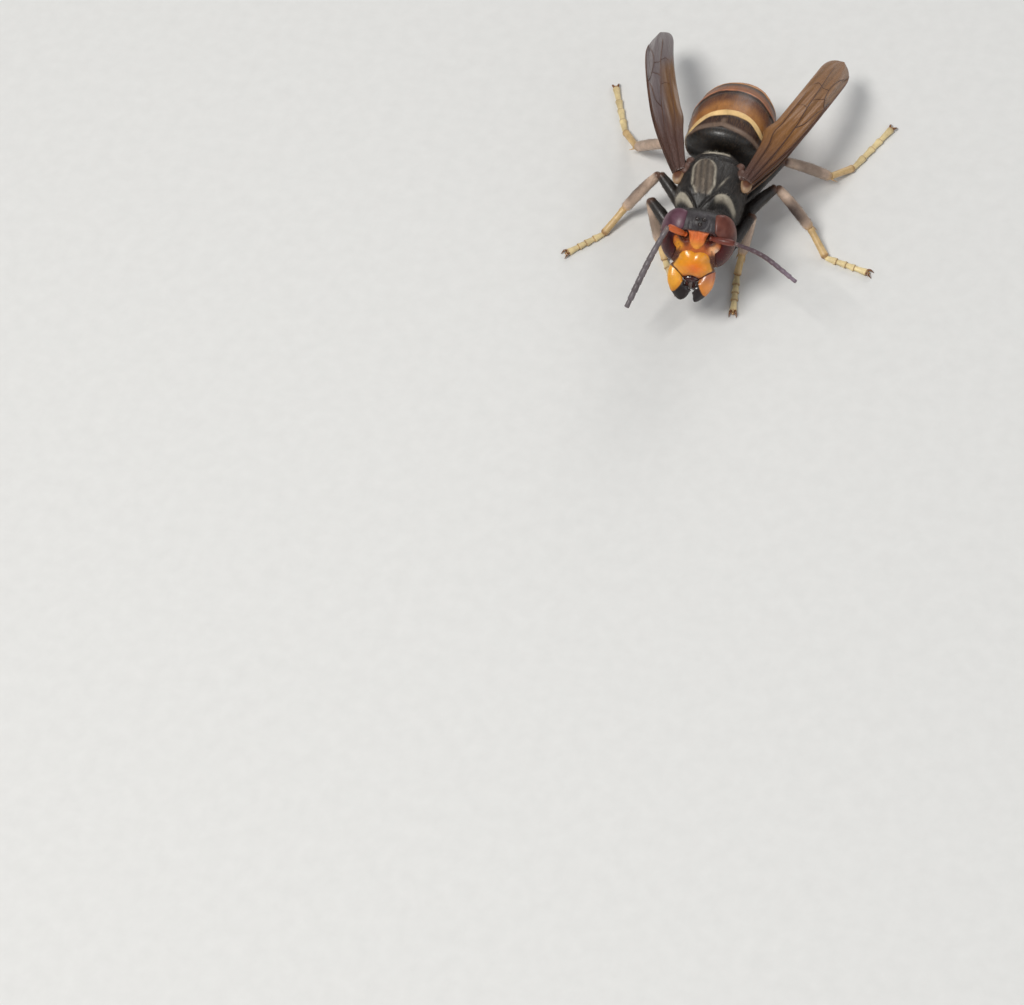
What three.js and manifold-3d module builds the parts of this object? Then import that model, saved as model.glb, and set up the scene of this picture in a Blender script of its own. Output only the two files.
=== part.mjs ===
import * as THREE from 'three';
import Module from 'manifold-3d';

// Yellow-legged hornet, a worker standing on its six feet, at life size.
// Millimetres, +Z up, the face towards -Y, the animal's own left towards +X.
// The floor is z = 0. Places below are given from the point of the floor under the thorax,
// and the whole insect is then moved so that the origin is the middle of its footprint.

const wasm = await Module();
wasm.setup();

const { Vector3, Matrix4 } = THREE;
const v = (x, y, z) => new Vector3(x, y, z);
const DEGREE = Math.PI / 180;
const TURN = 2 * Math.PI;
const SIDES = { left: 1, right: -1 };

// Driving dimensions
const GAP = 0.3;                          // air between two pieces that meet
const FINEST = 0.002;                     // edges shorter than this are closed up
const ORIGIN_SHIFT = v(-0.6, -3.1, 0);   // from the thorax to the middle of the footprint

// A place on the head: to its left, out of the face, and up
const onFace = (left, out, up) => v(left, -out, up);
const HEAD = {
  halfWidth: 2.6, top: 2.1, chin: 2.3, front: 1.2, back: 1.25, hollow: 0.4,
  place: v(-0.05, -4.58, 6.9), yaw: 7 * DEGREE, lift: 32 * DEGREE, roll: 7.5 * DEGREE,
};
const EYE = {
  front: onFace(1.2, -0.2, 0.1), frontRadius: v(1.5, 1.52, 2.15),
  side: onFace(1.75, 0.6, 0), sideRadius: v(2.0, 1.25, 2.25),
  inner: 1.28, slant: 0.16,               // its inner margin at mid height, and how it leans in above
  notch: onFace(1.25, 1.1, 0.55), notchRadius: v(0.6, 0.9, 0.45),
};
const CLYPEUS = {
  place: onFace(0, 0.95, -1.48), halfWidth: 1.4, halfHeight: 1.12, depth: 0.48, taper: 0.22,
};
const MANDIBLE = {
  base: onFace(1.2, 0.55, -2.1), middle: onFace(1.02, 1.0, -3.1), tip: onFace(0.45, 1.25, -4.3),
  flatness: 0.55,
};
const MOUTHPARTS = { place: onFace(0, 0.5, -2.9), radius: v(0.55, 0.46, 0.75) };
const ANTENNA = { socket: onFace(0.82, 1.0, 0.4), scapeBow: v(0, -0.22, 0.06), flagellumBow: v(0, 0, 0.35) };
const ELBOW = { left: onFace(2.6, 1.5, 0.6), right: onFace(-2.14, 1.6, 1.09) };
const ANTENNA_TIP = { left: v(7.51, -8.15, 8.2), right: v(-4.1, -10.1, 5.1) };

const THORAX = {
  middle: v(0, 0.05, 6), halfLength: 3.5, halfWidth: 2.5, top: 2.35, bottom: 2.7, pitch: 5 * DEGREE,
  squareness: 2.35,
};
const SHOULDER = { along: -1.4, reach: 0.42, across: 0.6, spread: 0.34, rise: 0.2 };
const COLLAR_GROOVE = { top: -1.12, side: 1.0, depth: 0.1, width: 0.24 };
const BACK_GROOVES = { places: [1.6, 2.45], depth: 0.13, width: 0.2 };
const TEGULA = { place: v(2.5, 0.35, 7.1), radius: v(0.46, 0.72, 0.36) };
const NECK = { radius: 0.55, start: v(0, -2.6, 5.9), end: v(-0.15, -4.3, 6.4) };

const GASTER = {
  start: v(0, 3.7, 5.35), length: 9.4, firstSlope: 12 * DEGREE, lastSlope: -55 * DEGREE, yaw: -4.5 * DEGREE,
  halfWidth: 3.12, top: 2.88, bottom: 2.6, shoulderAt: 0.95, shoulder: 0.92, fullAt: 2.3, taperFrom: 3.4,
  petiole: 0.42, tip: 0.12, rim: 0.03,
};
const GASTER_RIMS = [2.0, 3.9, 5.15, 6.4, 7.75, GASTER.length];   // along its middle line

// The forewing is folded lengthwise, so it is half as wide as when it is spread
const FOREWING = {
  length: 16.6, halfWidth: 1.14, rootHalfWidth: 0.5, thickness: 0.5, drop: 0, shift: 0, rows: 24,
};
const HINDWING = {
  length: 11.4, halfWidth: 0.82, rootHalfWidth: 0.28, thickness: 0.5, drop: 0.9, shift: 0.3, rows: 16,
};
const WING = {
  roll: 27 * DEGREE, rise: 1.45, camber: 0.12, widestAt: 0.4, roundFrom: 0.86, roundTo: 1.003,
  crowding: 0.4,                        // how much closer its rows lie near the tip
};
const WING_ROOT = { left: v(2.5, 0.5, 7.5), right: v(-2.45, 0.65, 7.5) };
const WING_TIP = { left: v(6.9, 15.6, 3.85), right: v(-6.85, 15.6, 4.4) };
const WING_BOW = { left: 0.08, right: -0.05 };   // outward at mid length
const VEIN = { rise: 0.1, foot: 0.1 };   // the foot is from a crest to its edge, a share of half the chord

// Each leg from its hip to the tip of its foot: hip, end of coxa, knee, ankle, heel, tip
const SOLE_HEIGHT = 0.2;
const sole = (x, y) => v(x, y, SOLE_HEIGHT);
const LEGS = {
  fore_left: [v(1.0, -2.1, 4.3), v(1.55, -2.5, 2.9), v(3.0, 0.26, 4.16), v(2.45, -1.1, 1.2),
    sole(2.32, -2.37), sole(2.63, -5.59)],
  fore_right: [v(-1.0, -2.1, 4.3), v(-1.75, -2.4, 2.95), v(-4.5, 0.1, 4.6), v(-3.74, -0.88, 1.2),
    sole(-3.1, -1.9), sole(-1.75, -4.4)],
  mid_left: [v(1.1, 0.5, 3.9), v(1.75, 0.4, 2.75), v(4.28, 2.82, 4.49), v(6.9, 2.02, 1.3),
    sole(8.38, 0.36), sole(11.51, -0.45)],
  mid_right: [v(-1.1, 0.5, 3.9), v(-1.75, 0.4, 2.75), v(-4.3, 2.6, 4.5), v(-6.8, 1.5, 1.3),
    sole(-8.1, -0.3), sole(-10.3, -2.4)],
  hind_left: [v(1.1, 2.0, 4.1), v(1.7, 2.1, 2.9), v(4.25, 5.6, 4.1), v(7.5, 7.3, 0.95),
    sole(9.0, 9.0), sole(11.2, 13.2)],
  hind_right: [v(-1.1, 2.0, 4.1), v(-1.6, 2.2, 2.95), v(-4.15, 5.7, 4.2), v(-7.2, 7.7, 0.95),
    sole(-8.5, 9.6), sole(-10.1, 13.8)],
};

// Outlines of the rods: share of the length, then radius
const OUTLINE = {
  mandible: [[0, 0.42], [0.15, 0.5], [0.4, 0.56], [0.65, 0.52], [0.85, 0.36], [0.96, 0.2], [1, 0.1]],
  scape: [[0, 0.2], [0.12, 0.24], [0.5, 0.26], [0.9, 0.26], [1, 0.22]],
  flagellum: [[0, 0.2], [0.06, 0.24], [0.3, 0.26], [0.6, 0.26], [0.9, 0.24], [0.97, 0.18], [1, 0.08]],
  neck: [[0, NECK.radius], [0.5, NECK.radius], [1, NECK.radius]],
  coxa: [[0, 0.5], [0.3, 0.66], [0.75, 0.55], [1, 0.42]],
  thigh: [[0, 0.36], [0.1, 0.4], [0.35, 0.5], [0.7, 0.44], [0.93, 0.33], [1, 0.28]],
  shin: [[0, 0.28], [0.2, 0.32], [0.6, 0.36], [0.9, 0.33], [1, 0.26]],
  basitarsus: [[0, 0.25], [0.15, 0.21], [0.85, 0.25], [1, 0.22]],
  toes: [[0, 0.22], [0.22, 0.25], [0.27, 0.21], [0.45, 0.25], [0.5, 0.21], [0.65, 0.25], [0.7, 0.2],
    [0.94, 0.26], [1, 0.16]],
  claw: [[0, 0.13], [0.5, 0.1], [1, 0.04]],
};
const CLAW = [[-0.2, 0.06], [0.15, 0.2], [0.38, 0.24]];   // ahead of the foot's tip, and aside
const CLAW_HEIGHTS = [0.22, 0.2, 0.05];

const finish = (color, roughness) => new THREE.MeshStandardMaterial({ color, roughness, metalness: 0 });
const MATERIALS = {
  black: finish(0x1a1412, 0.55),
  eye: finish(0x3a1418, 0.25),
  orange: finish(0xe8860f, 0.35),
  antenna: finish(0x2a2124, 0.6),
  brown: finish(0x4a2c16, 0.5),
  amber: finish(0xd98a1a, 0.45),
  wing: finish(0x4a3326, 0.35),
  tibia: finish(0x7a5a44, 0.5),
  yellow: finish(0xd9b35a, 0.5),
};

// A manifold solid from points and faces, turned so that its faces point out
function solidOf(points, faces) {
  const signed = faces.reduce((sum, [a, b, c]) =>
    sum + points[a].dot(v(0, 0, 0).crossVectors(points[b], points[c])), 0);
  const outward = signed > 0 ? faces : faces.map(([a, b, c]) => [a, c, b]);
  return new wasm.Manifold(new wasm.Mesh({
    numProp: 3,
    vertProperties: new Float32Array(points.flatMap(p => [p.x, p.y, p.z])),
    triVerts: new Uint32Array(outward.flat()),
  }));
}

// A closed surface from one pole, through rings of points, to the other pole
function polarSurface(rings, sides, place) {
  const ring = i => 1 + (i - 1) * sides;
  const last = ring(rings);
  const points = [place(0, 0)];
  const faces = [];
  for (let i = 1; i < rings; i++) {
    for (let j = 0; j < sides; j++) points.push(place(i / rings, (j / sides) * TURN));
  }
  points.push(place(1, 0));
  for (let j = 0; j < sides; j++) {
    const next = (j + 1) % sides;
    faces.push([0, ring(1) + next, ring(1) + j]);
    for (let i = 1; i < rings - 1; i++) {
      faces.push([ring(i) + j, ring(i) + next, ring(i + 1) + next]);
      faces.push([ring(i) + j, ring(i + 1) + next, ring(i + 1) + j]);
    }
    faces.push([last, ring(rings - 1) + j, ring(rings - 1) + next]);
  }
  return solidOf(points, faces);
}

// The largest closed surface of a solid, as a named mesh in a group
function mesh(name, solid, material, group) {
  const body = solid.decompose().reduce((best, other) => (other.volume() > best.volume() ? other : best))
    .simplify(FINEST);
  const { vertProperties, triVerts } = body.getMesh();
  const geometry = new THREE.BufferGeometry();
  geometry.setAttribute('position', new THREE.BufferAttribute(new Float32Array(vertProperties), 3));
  geometry.setIndex(new THREE.BufferAttribute(new Uint32Array(triVerts), 1));
  geometry.computeVertexNormals();
  const piece = new THREE.Mesh(geometry, material);
  piece.name = name;
  group.add(piece);
}

const power = (value, exponent) => Math.sign(value) * Math.abs(value) ** exponent;
const bump = (x, middle, width) => Math.exp(-(((x - middle) / width) ** 2));
const rampTo = (x, full) => Math.min(x / full, 1);
const mirrored = (place, side) => v(place.x * side, place.y, place.z);
const grown = (radius, grow) => v(radius.x + grow, radius.y + grow, radius.z + grow);

function ellipsoid(middle, radius, rings, sides) {
  return polarSurface(rings, sides, (t, a) => {
    const fall = Math.sin(Math.PI * t);
    return v(radius.x * fall * Math.cos(a), radius.y * fall * Math.sin(a), radius.z * Math.cos(Math.PI * t))
      .add(middle);
  });
}

// A round rod along a smooth line through points, with an outline of its radius
function rod(points, outline, { sides = 8, grow = 0, flatness = 1, up = v(0, 0, 1), tension = 0.5 } = {}) {
  const line = new THREE.CatmullRomCurve3(points, false, 'catmullrom', tension);
  const rows = outline.length + 1;
  return polarSurface(rows, sides, (t, a) => {
    const step = Math.round(t * rows);
    const [way, radius] = outline[Math.min(Math.max(step - 1, 0), outline.length - 1)];
    const along = line.getTangentAt(way);
    const across = v(0, 0, 0).crossVectors(along, up).normalize();
    const over = v(0, 0, 0).crossVectors(across, along).normalize();
    const end = way === 0 ? -grow : way === 1 ? grow : 0;
    const place = line.getPointAt(way).addScaledVector(along, end);
    if (step === 0 || step === rows) return place;
    return place.addScaledVector(across, (radius + grow) * Math.cos(a))
      .addScaledVector(over, (radius * flatness + grow) * Math.sin(a));
  });
}

const hornet = new THREE.Group();
hornet.position.copy(ORIGIN_SHIFT);

// Head frame: x to the animal's left, -y out of the face, z towards the top of the head
const headGroup = new THREE.Group();
headGroup.position.copy(HEAD.place);
headGroup.rotation.order = 'ZXY';
headGroup.rotation.set(-HEAD.lift, HEAD.roll, HEAD.yaw);
headGroup.updateMatrix();
const fromHead = headGroup.matrix;
const toHead = fromHead.clone().invert();
hornet.add(headGroup);

// Rounded box of a head: an outline seen from the front, swept from the face to the nape
function headShell(grow = 0) {
  return polarSurface(18, 24, (t, a) => {
    const up = Math.sin(a);
    const height = up > 0 ? HEAD.top : HEAD.chin;
    const squareness = up > 0 ? 2.6 : 2.1;
    const spread = Math.sin(Math.PI * t) ** 0.72;
    const toFace = power(Math.cos(Math.PI * t), 0.85);
    const depth = toFace > 0 ? HEAD.front : HEAD.back;
    const hollow = toFace < 0 ? HEAD.hollow * (1 - spread) ** 2 : 0;
    return v(
      (HEAD.halfWidth + grow) * spread * power(Math.cos(a), 2 / squareness),
      -(depth + grow) * toFace - hollow,
      (height + grow) * spread * power(up, 2 / squareness),
    );
  });
}

// Compound eye: a tall patch that stands a little out of the head, kidney shaped, with a
// slanted inner margin and a notch beside the antenna's socket
function eyeBall(side, grow = 0) {
  const inward = v(side, 0, EYE.slant);
  return ellipsoid(mirrored(EYE.front, side), grown(EYE.frontRadius, grow), 16, 22)
    .intersect(ellipsoid(mirrored(EYE.side, side), grown(EYE.sideRadius, grow), 16, 22))
    .trimByPlane(inward.clone().normalize().toArray(), EYE.inner / inward.length() - grow)
    .subtract(ellipsoid(mirrored(EYE.notch, side), grown(EYE.notchRadius, -grow), 10, 14));
}

// Shield over the mouth, broadest low down
function clypeusPlate(grow = 0) {
  return polarSurface(10, 22, (t, a) => {
    const spread = Math.sin(Math.PI * t) ** 0.8;
    const up = power(Math.sin(a), 0.8);
    return v(
      (CLYPEUS.halfWidth + grow) * spread * (1 - CLYPEUS.taper * up) * power(Math.cos(a), 0.85),
      -(CLYPEUS.depth + grow) * Math.cos(Math.PI * t),
      (CLYPEUS.halfHeight + grow) * spread * up,
    ).add(CLYPEUS.place);
  });
}

function mandible(side, grow = 0) {
  const line = [MANDIBLE.base, MANDIBLE.middle, MANDIBLE.tip].map(place => mirrored(place, side));
  return rod(line, OUTLINE.mandible, { sides: 12, grow, flatness: MANDIBLE.flatness, up: v(0, -1, 0) });
}

function mouthparts(grow = 0) {
  return ellipsoid(MOUTHPARTS.place, grown(MOUTHPARTS.radius, grow), 10, 12);
}

// Scape from the socket to the elbow, then the flagellum to the tip
function scape(name, grow = 0) {
  const start = mirrored(ANTENNA.socket, SIDES[name]);
  const middle = start.clone().lerp(ELBOW[name], 0.5).add(ANTENNA.scapeBow);
  return rod([start, middle, ELBOW[name]], OUTLINE.scape, { grow });
}

function flagellum(name) {
  const start = ELBOW[name];
  const end = ANTENNA_TIP[name].clone().applyMatrix4(toHead);
  const middle = start.clone().lerp(end, 0.45).add(ANTENNA.flagellumBow);
  return rod([start, middle, end], OUTLINE.flagellum);
}

const clypeusRoom = clypeusPlate(GAP);
let skull = headShell().subtract(clypeusRoom).subtract(mouthparts(GAP));
let mouth = mouthparts().subtract(clypeusRoom);
for (const [name, side] of Object.entries(SIDES)) {
  const stalk = scape(name).subtract(headShell(GAP)).subtract(eyeBall(side, GAP));
  mesh(`antenna_${name}_scape`, stalk, MATERIALS.antenna, headGroup);
  mesh(`antenna_${name}_flagellum`, flagellum(name).subtract(scape(name, GAP)), MATERIALS.antenna, headGroup);
  mesh(`eye_${name}`, eyeBall(side).subtract(clypeusRoom), MATERIALS.eye, headGroup);
  mesh(`mandible_${name}`, mandible(side).subtract(clypeusRoom), MATERIALS.orange, headGroup);
  skull = skull.subtract(eyeBall(side, GAP)).subtract(mandible(side, GAP));
  mouth = mouth.subtract(mandible(side, GAP));
}
mesh('head', skull, MATERIALS.black, headGroup);
mesh('clypeus', clypeusPlate(), MATERIALS.orange, headGroup);
mesh('mouthparts', mouth, MATERIALS.brown, headGroup);

// Thorax: low front slope, two shoulders with a grooved collar, domed back with a raised
// scutellum between two grooves, steep rear, flat sides, and a scale over each wing's root
function thoraxSolid(grow = 0) {
  const tilt = new Matrix4().makeRotationX(-THORAX.pitch);
  const shell = polarSurface(28, 26, (t, a) => {
    const way = -Math.cos(Math.PI * t);
    const along = (THORAX.halfLength + grow) * way;
    const rear = way > 0;
    const top = (1 - Math.abs(way) ** (rear ? 3.2 : 2)) ** (rear ? 0.7 : 0.8);
    const rest = (1 - Math.abs(way) ** 2.6) ** 0.58;
    const up = Math.sin(a);
    const aside = Math.abs(Math.cos(a));
    const shoulder = up > 0 ? SHOULDER.rise * bump(along, SHOULDER.along, SHOULDER.reach)
      * bump(aside, SHOULDER.across, SHOULDER.spread) : 0;
    const collarAt = COLLAR_GROOVE.top + COLLAR_GROOVE.side * aside ** 2;
    const collar = up > 0 ? COLLAR_GROOVE.depth * bump(along, collarAt, COLLAR_GROOVE.width) : 0;
    const grooves = BACK_GROOVES.places
      .reduce((sum, place) => sum + bump(along, place, BACK_GROOVES.width), 0);
    const swell = 1 + (shoulder - collar) / THORAX.top;
    const height = up > 0
      ? (THORAX.top + grow) * top - BACK_GROOVES.depth * grooves
      : (THORAX.bottom + grow) * rest;
    return v(
      (THORAX.halfWidth + grow) * rest * swell * power(Math.cos(a), 2 / THORAX.squareness),
      along,
      height * swell * power(up, 2 / THORAX.squareness),
    ).applyMatrix4(tilt).add(THORAX.middle);
  });
  return Object.values(SIDES).reduce((solid, side) =>
    solid.add(ellipsoid(mirrored(TEGULA.place, side), grown(TEGULA.radius, grow), 8, 12)), shell);
}

const thoraxRoom = thoraxSolid(GAP);
const neckLine = [NECK.start, NECK.start.clone().lerp(NECK.end, 0.5), NECK.end];
const headRoom = headShell(GAP).transform(fromHead.toArray());
mesh('thorax', thoraxSolid().add(rod(neckLine, OUTLINE.neck, { sides: 12 })).subtract(headRoom),
  MATERIALS.black, hornet);

// Gaster: six segments of one curved body, whose middle line is an arc
const gasterTurn = (GASTER.lastSlope - GASTER.firstSlope) / GASTER.length;
function gasterMiddle(way) {
  const slope = GASTER.firstSlope + gasterTurn * way;
  return v(0, (Math.sin(slope) - Math.sin(GASTER.firstSlope)) / gasterTurn,
    (Math.cos(GASTER.firstSlope) - Math.cos(slope)) / gasterTurn);
}
function gasterSwell(way) {
  const front = Math.sqrt(1 - (1 - rampTo(way, GASTER.shoulderAt)) ** 2.2);
  const rise = front * (GASTER.shoulder + (1 - GASTER.shoulder) * rampTo(way, GASTER.fullAt));
  const fall = Math.max(0, (way - GASTER.taperFrom) / (GASTER.length - GASTER.taperFrom));
  const least = (way < GASTER.shoulderAt ? GASTER.petiole : GASTER.tip) / GASTER.halfWidth;
  return Math.max(rise * (1 - fall ** 1.8), least);
}
// One segment, its two end faces set back from the planes that it shares with its neighbours
function gasterSegment(from, to, isFirst, isLast) {
  const rows = 7;
  const turn = new Matrix4().makeRotationZ(GASTER.yaw);
  return polarSurface(rows, 28, (t, a) => {
    const step = Math.round(t * rows);
    const share = Math.min(Math.max((step - 1) / (rows - 2), 0), 1);
    const way = from + (to - from) * share;
    const slope = GASTER.firstSlope + gasterTurn * way;
    const setBack = share === 0 && !isFirst ? GAP / 2 : share === 1 && !isLast ? -GAP / 2 : 0;
    const place = gasterMiddle(way).add(v(0, Math.cos(slope), Math.sin(slope)).multiplyScalar(setBack));
    if (step > 0 && step < rows) {
      const swell = gasterSwell(way) * (1 + (isLast ? 0 : GASTER.rim * (share ** 3 - 0.5)));
      const over = (Math.sin(a) > 0 ? GASTER.top : GASTER.bottom) * swell * power(Math.sin(a), 0.95);
      place.add(v(GASTER.halfWidth * swell * power(Math.cos(a), 0.95),
        -over * Math.sin(slope), over * Math.cos(slope)));
    }
    return place.applyMatrix4(turn).add(GASTER.start);
  });
}
GASTER_RIMS.forEach((rim, i) => {
  const last = GASTER_RIMS.length - 1;
  const segment = gasterSegment(i === 0 ? 0 : GASTER_RIMS[i - 1], rim, i === 0, i === last);
  mesh(`gaster_${i + 1}`, segment.subtract(thoraxRoom), i === 3 ? MATERIALS.amber : MATERIALS.brown, hornet);
});

// Veins of a wing, each with its place across the chord (1 at the leading edge, -1 at the
// fold) and how far it stands up, both as functions of the way along the wing
const fade = (way, from, to) => Math.max(0, Math.min(1, (way - from) / 0.04, (to - way) / 0.06));
const FOREWING_VEINS = [
  { chord: () => 0.86, rise: way => fade(way, -0.1, 0.8) + 0.8 * bump(way, 0.6, 0.05) },
  { chord: way => 0.34 + 0.18 * Math.min(1, ((way - 0.72) / 0.2) ** 2), rise: way => fade(way, 0.54, 0.92) },
  { chord: way => 0.02 - 0.12 * way, rise: way => fade(way, 0.05, 0.88) },
  { chord: way => -0.55 - 0.1 * way, rise: way => fade(way, 0.05, 0.72) },
];
const HINDWING_VEINS = [
  { chord: () => 0.8, rise: way => fade(way, -0.1, 0.75) },
  { chord: way => 0.1 - 0.3 * way, rise: way => fade(way, 0.05, 0.8) },
];

// Wing: a thin plate on one grid whose lines run along the veins, split alike on both faces
function wingPlate(size, veins, name) {
  const [root, tip, side] = [WING_ROOT[name], WING_TIP[name], SIDES[name]];
  const along = tip.clone().sub(root).normalize();
  const out = v(side, 0, 0).addScaledVector(along, -along.x * side).normalize();
  const face = v(0, 0, 0).crossVectors(out, along).multiplyScalar(side);
  const across = out.clone().multiplyScalar(Math.cos(WING.roll)).addScaledVector(face, -Math.sin(WING.roll));
  const over = face.clone().multiplyScalar(Math.cos(WING.roll)).addScaledVector(out, Math.sin(WING.roll));
  const linesAt = way => [[1, 0], ...veins.flatMap(({ chord, rise }) => {
    const crest = Math.min(chord(way), 1 - 2 * VEIN.foot);
    return [[crest + VEIN.foot, 0], [crest, rise(way)], [crest - VEIN.foot, 0]];
  }), [-1, 0]];
  const columns = linesAt(0).length;
  const points = [];
  for (const layer of [1, -1]) {
    for (let i = 0; i <= size.rows; i++) {
      const share = i / size.rows;
      const way = share * (1 + WING.crowding * (1 - share));
      const spread = Math.sin(Math.min(way / WING.widestAt, 1) * Math.PI / 2);
      const open = size.rootHalfWidth + (size.halfWidth - size.rootHalfWidth) * spread;
      const round = Math.sqrt(1 - Math.max(0, (way - WING.roundFrom) / (WING.roundTo - WING.roundFrom)) ** 2);
      const arch = Math.sin(Math.PI * way * size.length / FOREWING.length);
      for (const [chord, rise] of linesAt(way)) {
        const vein = layer > 0 ? VEIN.rise * rise : 0;
        points.push(root.clone()
          .addScaledVector(along, size.length * way)
          .addScaledVector(across, open * round * chord + WING_BOW[name] * arch + size.shift)
          .addScaledVector(over, WING.rise * arch - WING.camber * chord * chord * open - size.drop
            + layer * size.thickness / 2 + vein));
      }
    }
  }
  const at = (layer, i, j) => (layer * (size.rows + 1) + i) * columns + j;
  const faces = [];
  const quad = (a, b, c, d) => faces.push([a, b, c], [a, c, d]);
  const edge = columns - 1;
  for (let i = 0; i < size.rows; i++) {
    for (let j = 0; j < edge; j++) {
      quad(at(0, i, j), at(0, i + 1, j), at(0, i + 1, j + 1), at(0, i, j + 1));
      faces.push([at(1, i, j), at(1, i + 1, j + 1), at(1, i + 1, j)]);
      faces.push([at(1, i, j), at(1, i, j + 1), at(1, i + 1, j + 1)]);
    }
    quad(at(0, i, 0), at(1, i, 0), at(1, i + 1, 0), at(0, i + 1, 0));
    quad(at(0, i, edge), at(0, i + 1, edge), at(1, i + 1, edge), at(1, i, edge));
  }
  for (let j = 0; j < edge; j++) {
    quad(at(0, 0, j), at(0, 0, j + 1), at(1, 0, j + 1), at(1, 0, j));
    quad(at(0, size.rows, j), at(1, size.rows, j), at(1, size.rows, j + 1), at(0, size.rows, j + 1));
  }
  return solidOf(points, faces).subtract(thoraxRoom);
}
for (const name of Object.keys(SIDES)) {
  mesh(`forewing_${name}`, wingPlate(FOREWING, FOREWING_VEINS, name), MATERIALS.wing, hornet);
  mesh(`hindwing_${name}`, wingPlate(HINDWING, HINDWING_VEINS, name), MATERIALS.wing, hornet);
}

// Legs: hip and thigh, then shin, each a little arched
const arched = (start, end, rise) => [start, start.clone().lerp(end, 0.5).add(v(0, 0, rise)), end];
function thigh([hip, coxaEnd, knee], grow = 0) {
  return rod(arched(hip, coxaEnd, 0), OUTLINE.coxa, { grow })
    .add(rod(arched(coxaEnd, knee, 0.2), OUTLINE.thigh, { grow }));
}
function shin([, , knee, ankle], grow = 0) {
  return rod(arched(knee, ankle, 0.12), OUTLINE.shin, { grow });
}
// Foot: a long first joint down to the heel, then four more along the floor, each widest at
// its far end, and two claws
function foot([, , , ankle, heel, tip]) {
  const forward = tip.clone().sub(heel).normalize();
  const aside = v(-forward.y, forward.x, 0);
  const bare = rod(arched(ankle, heel, 0), OUTLINE.basitarsus)
    .add(rod(arched(heel, tip, 0), OUTLINE.toes));
  return [1, -1].reduce((solid, way) => {
    const line = CLAW.map(([ahead, out], i) => tip.clone().setZ(CLAW_HEIGHTS[i])
      .addScaledVector(forward, ahead).addScaledVector(aside, way * out));
    return solid.add(rod(line, OUTLINE.claw, { sides: 5 }));
  }, bare).trimByPlane([0, 0, 1], 0);
}
for (const [name, joints] of Object.entries(LEGS)) {
  mesh(`leg_${name}_femur`, thigh(joints).subtract(thoraxRoom), MATERIALS.black, hornet);
  mesh(`leg_${name}_tibia`, shin(joints).subtract(thigh(joints, GAP)), MATERIALS.tibia, hornet);
  mesh(`leg_${name}_tarsus`, foot(joints).subtract(shin(joints, GAP)), MATERIALS.yellow, hornet);
}

export default hornet;
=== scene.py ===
"""Yellow-legged hornet worker, a life-size still model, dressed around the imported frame.

Shapes are worked out in millimetres from the point of the floor under the thorax, with the
face towards -Y and the animal's left towards +X, and every mesh is then put in the frame in
metres. Colours of skin and coat are one attribute, "tint", worked out point by point.
"""
import math
from types import SimpleNamespace

import bpy
import numpy as np
from mathutils import Matrix, Vector


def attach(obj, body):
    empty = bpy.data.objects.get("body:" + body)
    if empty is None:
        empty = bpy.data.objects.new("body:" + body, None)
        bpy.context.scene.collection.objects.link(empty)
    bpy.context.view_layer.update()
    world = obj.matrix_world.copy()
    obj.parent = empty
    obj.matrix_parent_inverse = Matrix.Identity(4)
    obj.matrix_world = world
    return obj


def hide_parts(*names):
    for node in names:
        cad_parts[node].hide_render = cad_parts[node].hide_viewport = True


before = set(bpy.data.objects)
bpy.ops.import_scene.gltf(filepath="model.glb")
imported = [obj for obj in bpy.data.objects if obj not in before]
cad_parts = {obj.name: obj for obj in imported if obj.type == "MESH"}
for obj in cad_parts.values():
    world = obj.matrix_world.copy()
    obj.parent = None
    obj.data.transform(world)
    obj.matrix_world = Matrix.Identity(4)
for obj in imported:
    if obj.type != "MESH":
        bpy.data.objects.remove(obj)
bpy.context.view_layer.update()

MM = 0.001
ORIGIN_SHIFT = np.array([-0.6, -3.1, 0.0])
SIDES = {"left": 1, "right": -1}
TAU = 2 * math.pi


# Camera, floor and light

VIEW = {"azimuth": 20, "elevation": 57.5, "roll": 8, "lens": 90, "sensor": 36, "distance": 0.183}
IMAGE = (1024, 1005)
FLOOR_CORNERS = [(-1.5, -1.5, 0), (1.5, -1.5, 0), (1.5, 1.5, 0), (-1.5, 1.5, 0)]
THORAX_PIXEL = (711, 196)
THORAX_PLACE = Vector((ORIGIN_SHIFT[0], ORIGIN_SHIFT[1], 6.0)) * MM


def set_camera():
    """Camera at the viewing angle of the picture, with the thorax at its pixel."""
    azimuth, elevation, roll = (math.radians(VIEW[k]) for k in ("azimuth", "elevation", "roll"))
    back = Vector((math.sin(azimuth) * math.cos(elevation), -math.cos(azimuth) * math.cos(elevation),
                   math.sin(elevation)))
    level = (-back).cross(Vector((0, 0, 1))).normalized()
    upright = level.cross(-back)
    right = level * math.cos(roll) - upright * math.sin(roll)
    up = level * math.sin(roll) + upright * math.cos(roll)
    pixels = VIEW["lens"] / VIEW["sensor"] * IMAGE[0]
    aside = (THORAX_PIXEL[0] - IMAGE[0] / 2) / pixels
    above = (IMAGE[1] / 2 - THORAX_PIXEL[1]) / pixels
    place = THORAX_PLACE - VIEW["distance"] * (-back + aside * right + above * up)
    data = bpy.data.cameras.new("camera")
    data.lens, data.sensor_width = VIEW["lens"], VIEW["sensor"]
    data.clip_start, data.clip_end = 0.01, 10
    camera = bpy.data.objects.new("camera", data)
    camera.matrix_world = Matrix((
        (right.x, up.x, back.x, place.x), (right.y, up.y, back.y, place.y),
        (right.z, up.z, back.z, place.z), (0, 0, 0, 1)))
    bpy.context.scene.collection.objects.link(camera)
    bpy.context.scene.camera = camera


def add_light(name, place, size, watts, colour):
    """A square lamp that faces the middle of the frame."""
    data = bpy.data.lights.new(name, "AREA")
    data.size, data.energy, data.color = size, watts, colour
    lamp = bpy.data.objects.new(name, data)
    lamp.location = place
    lamp.rotation_mode = "QUATERNION"
    lamp.rotation_quaternion = (-Vector(place)).to_track_quat("-Z", "Y")
    bpy.context.scene.collection.objects.link(lamp)


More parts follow.
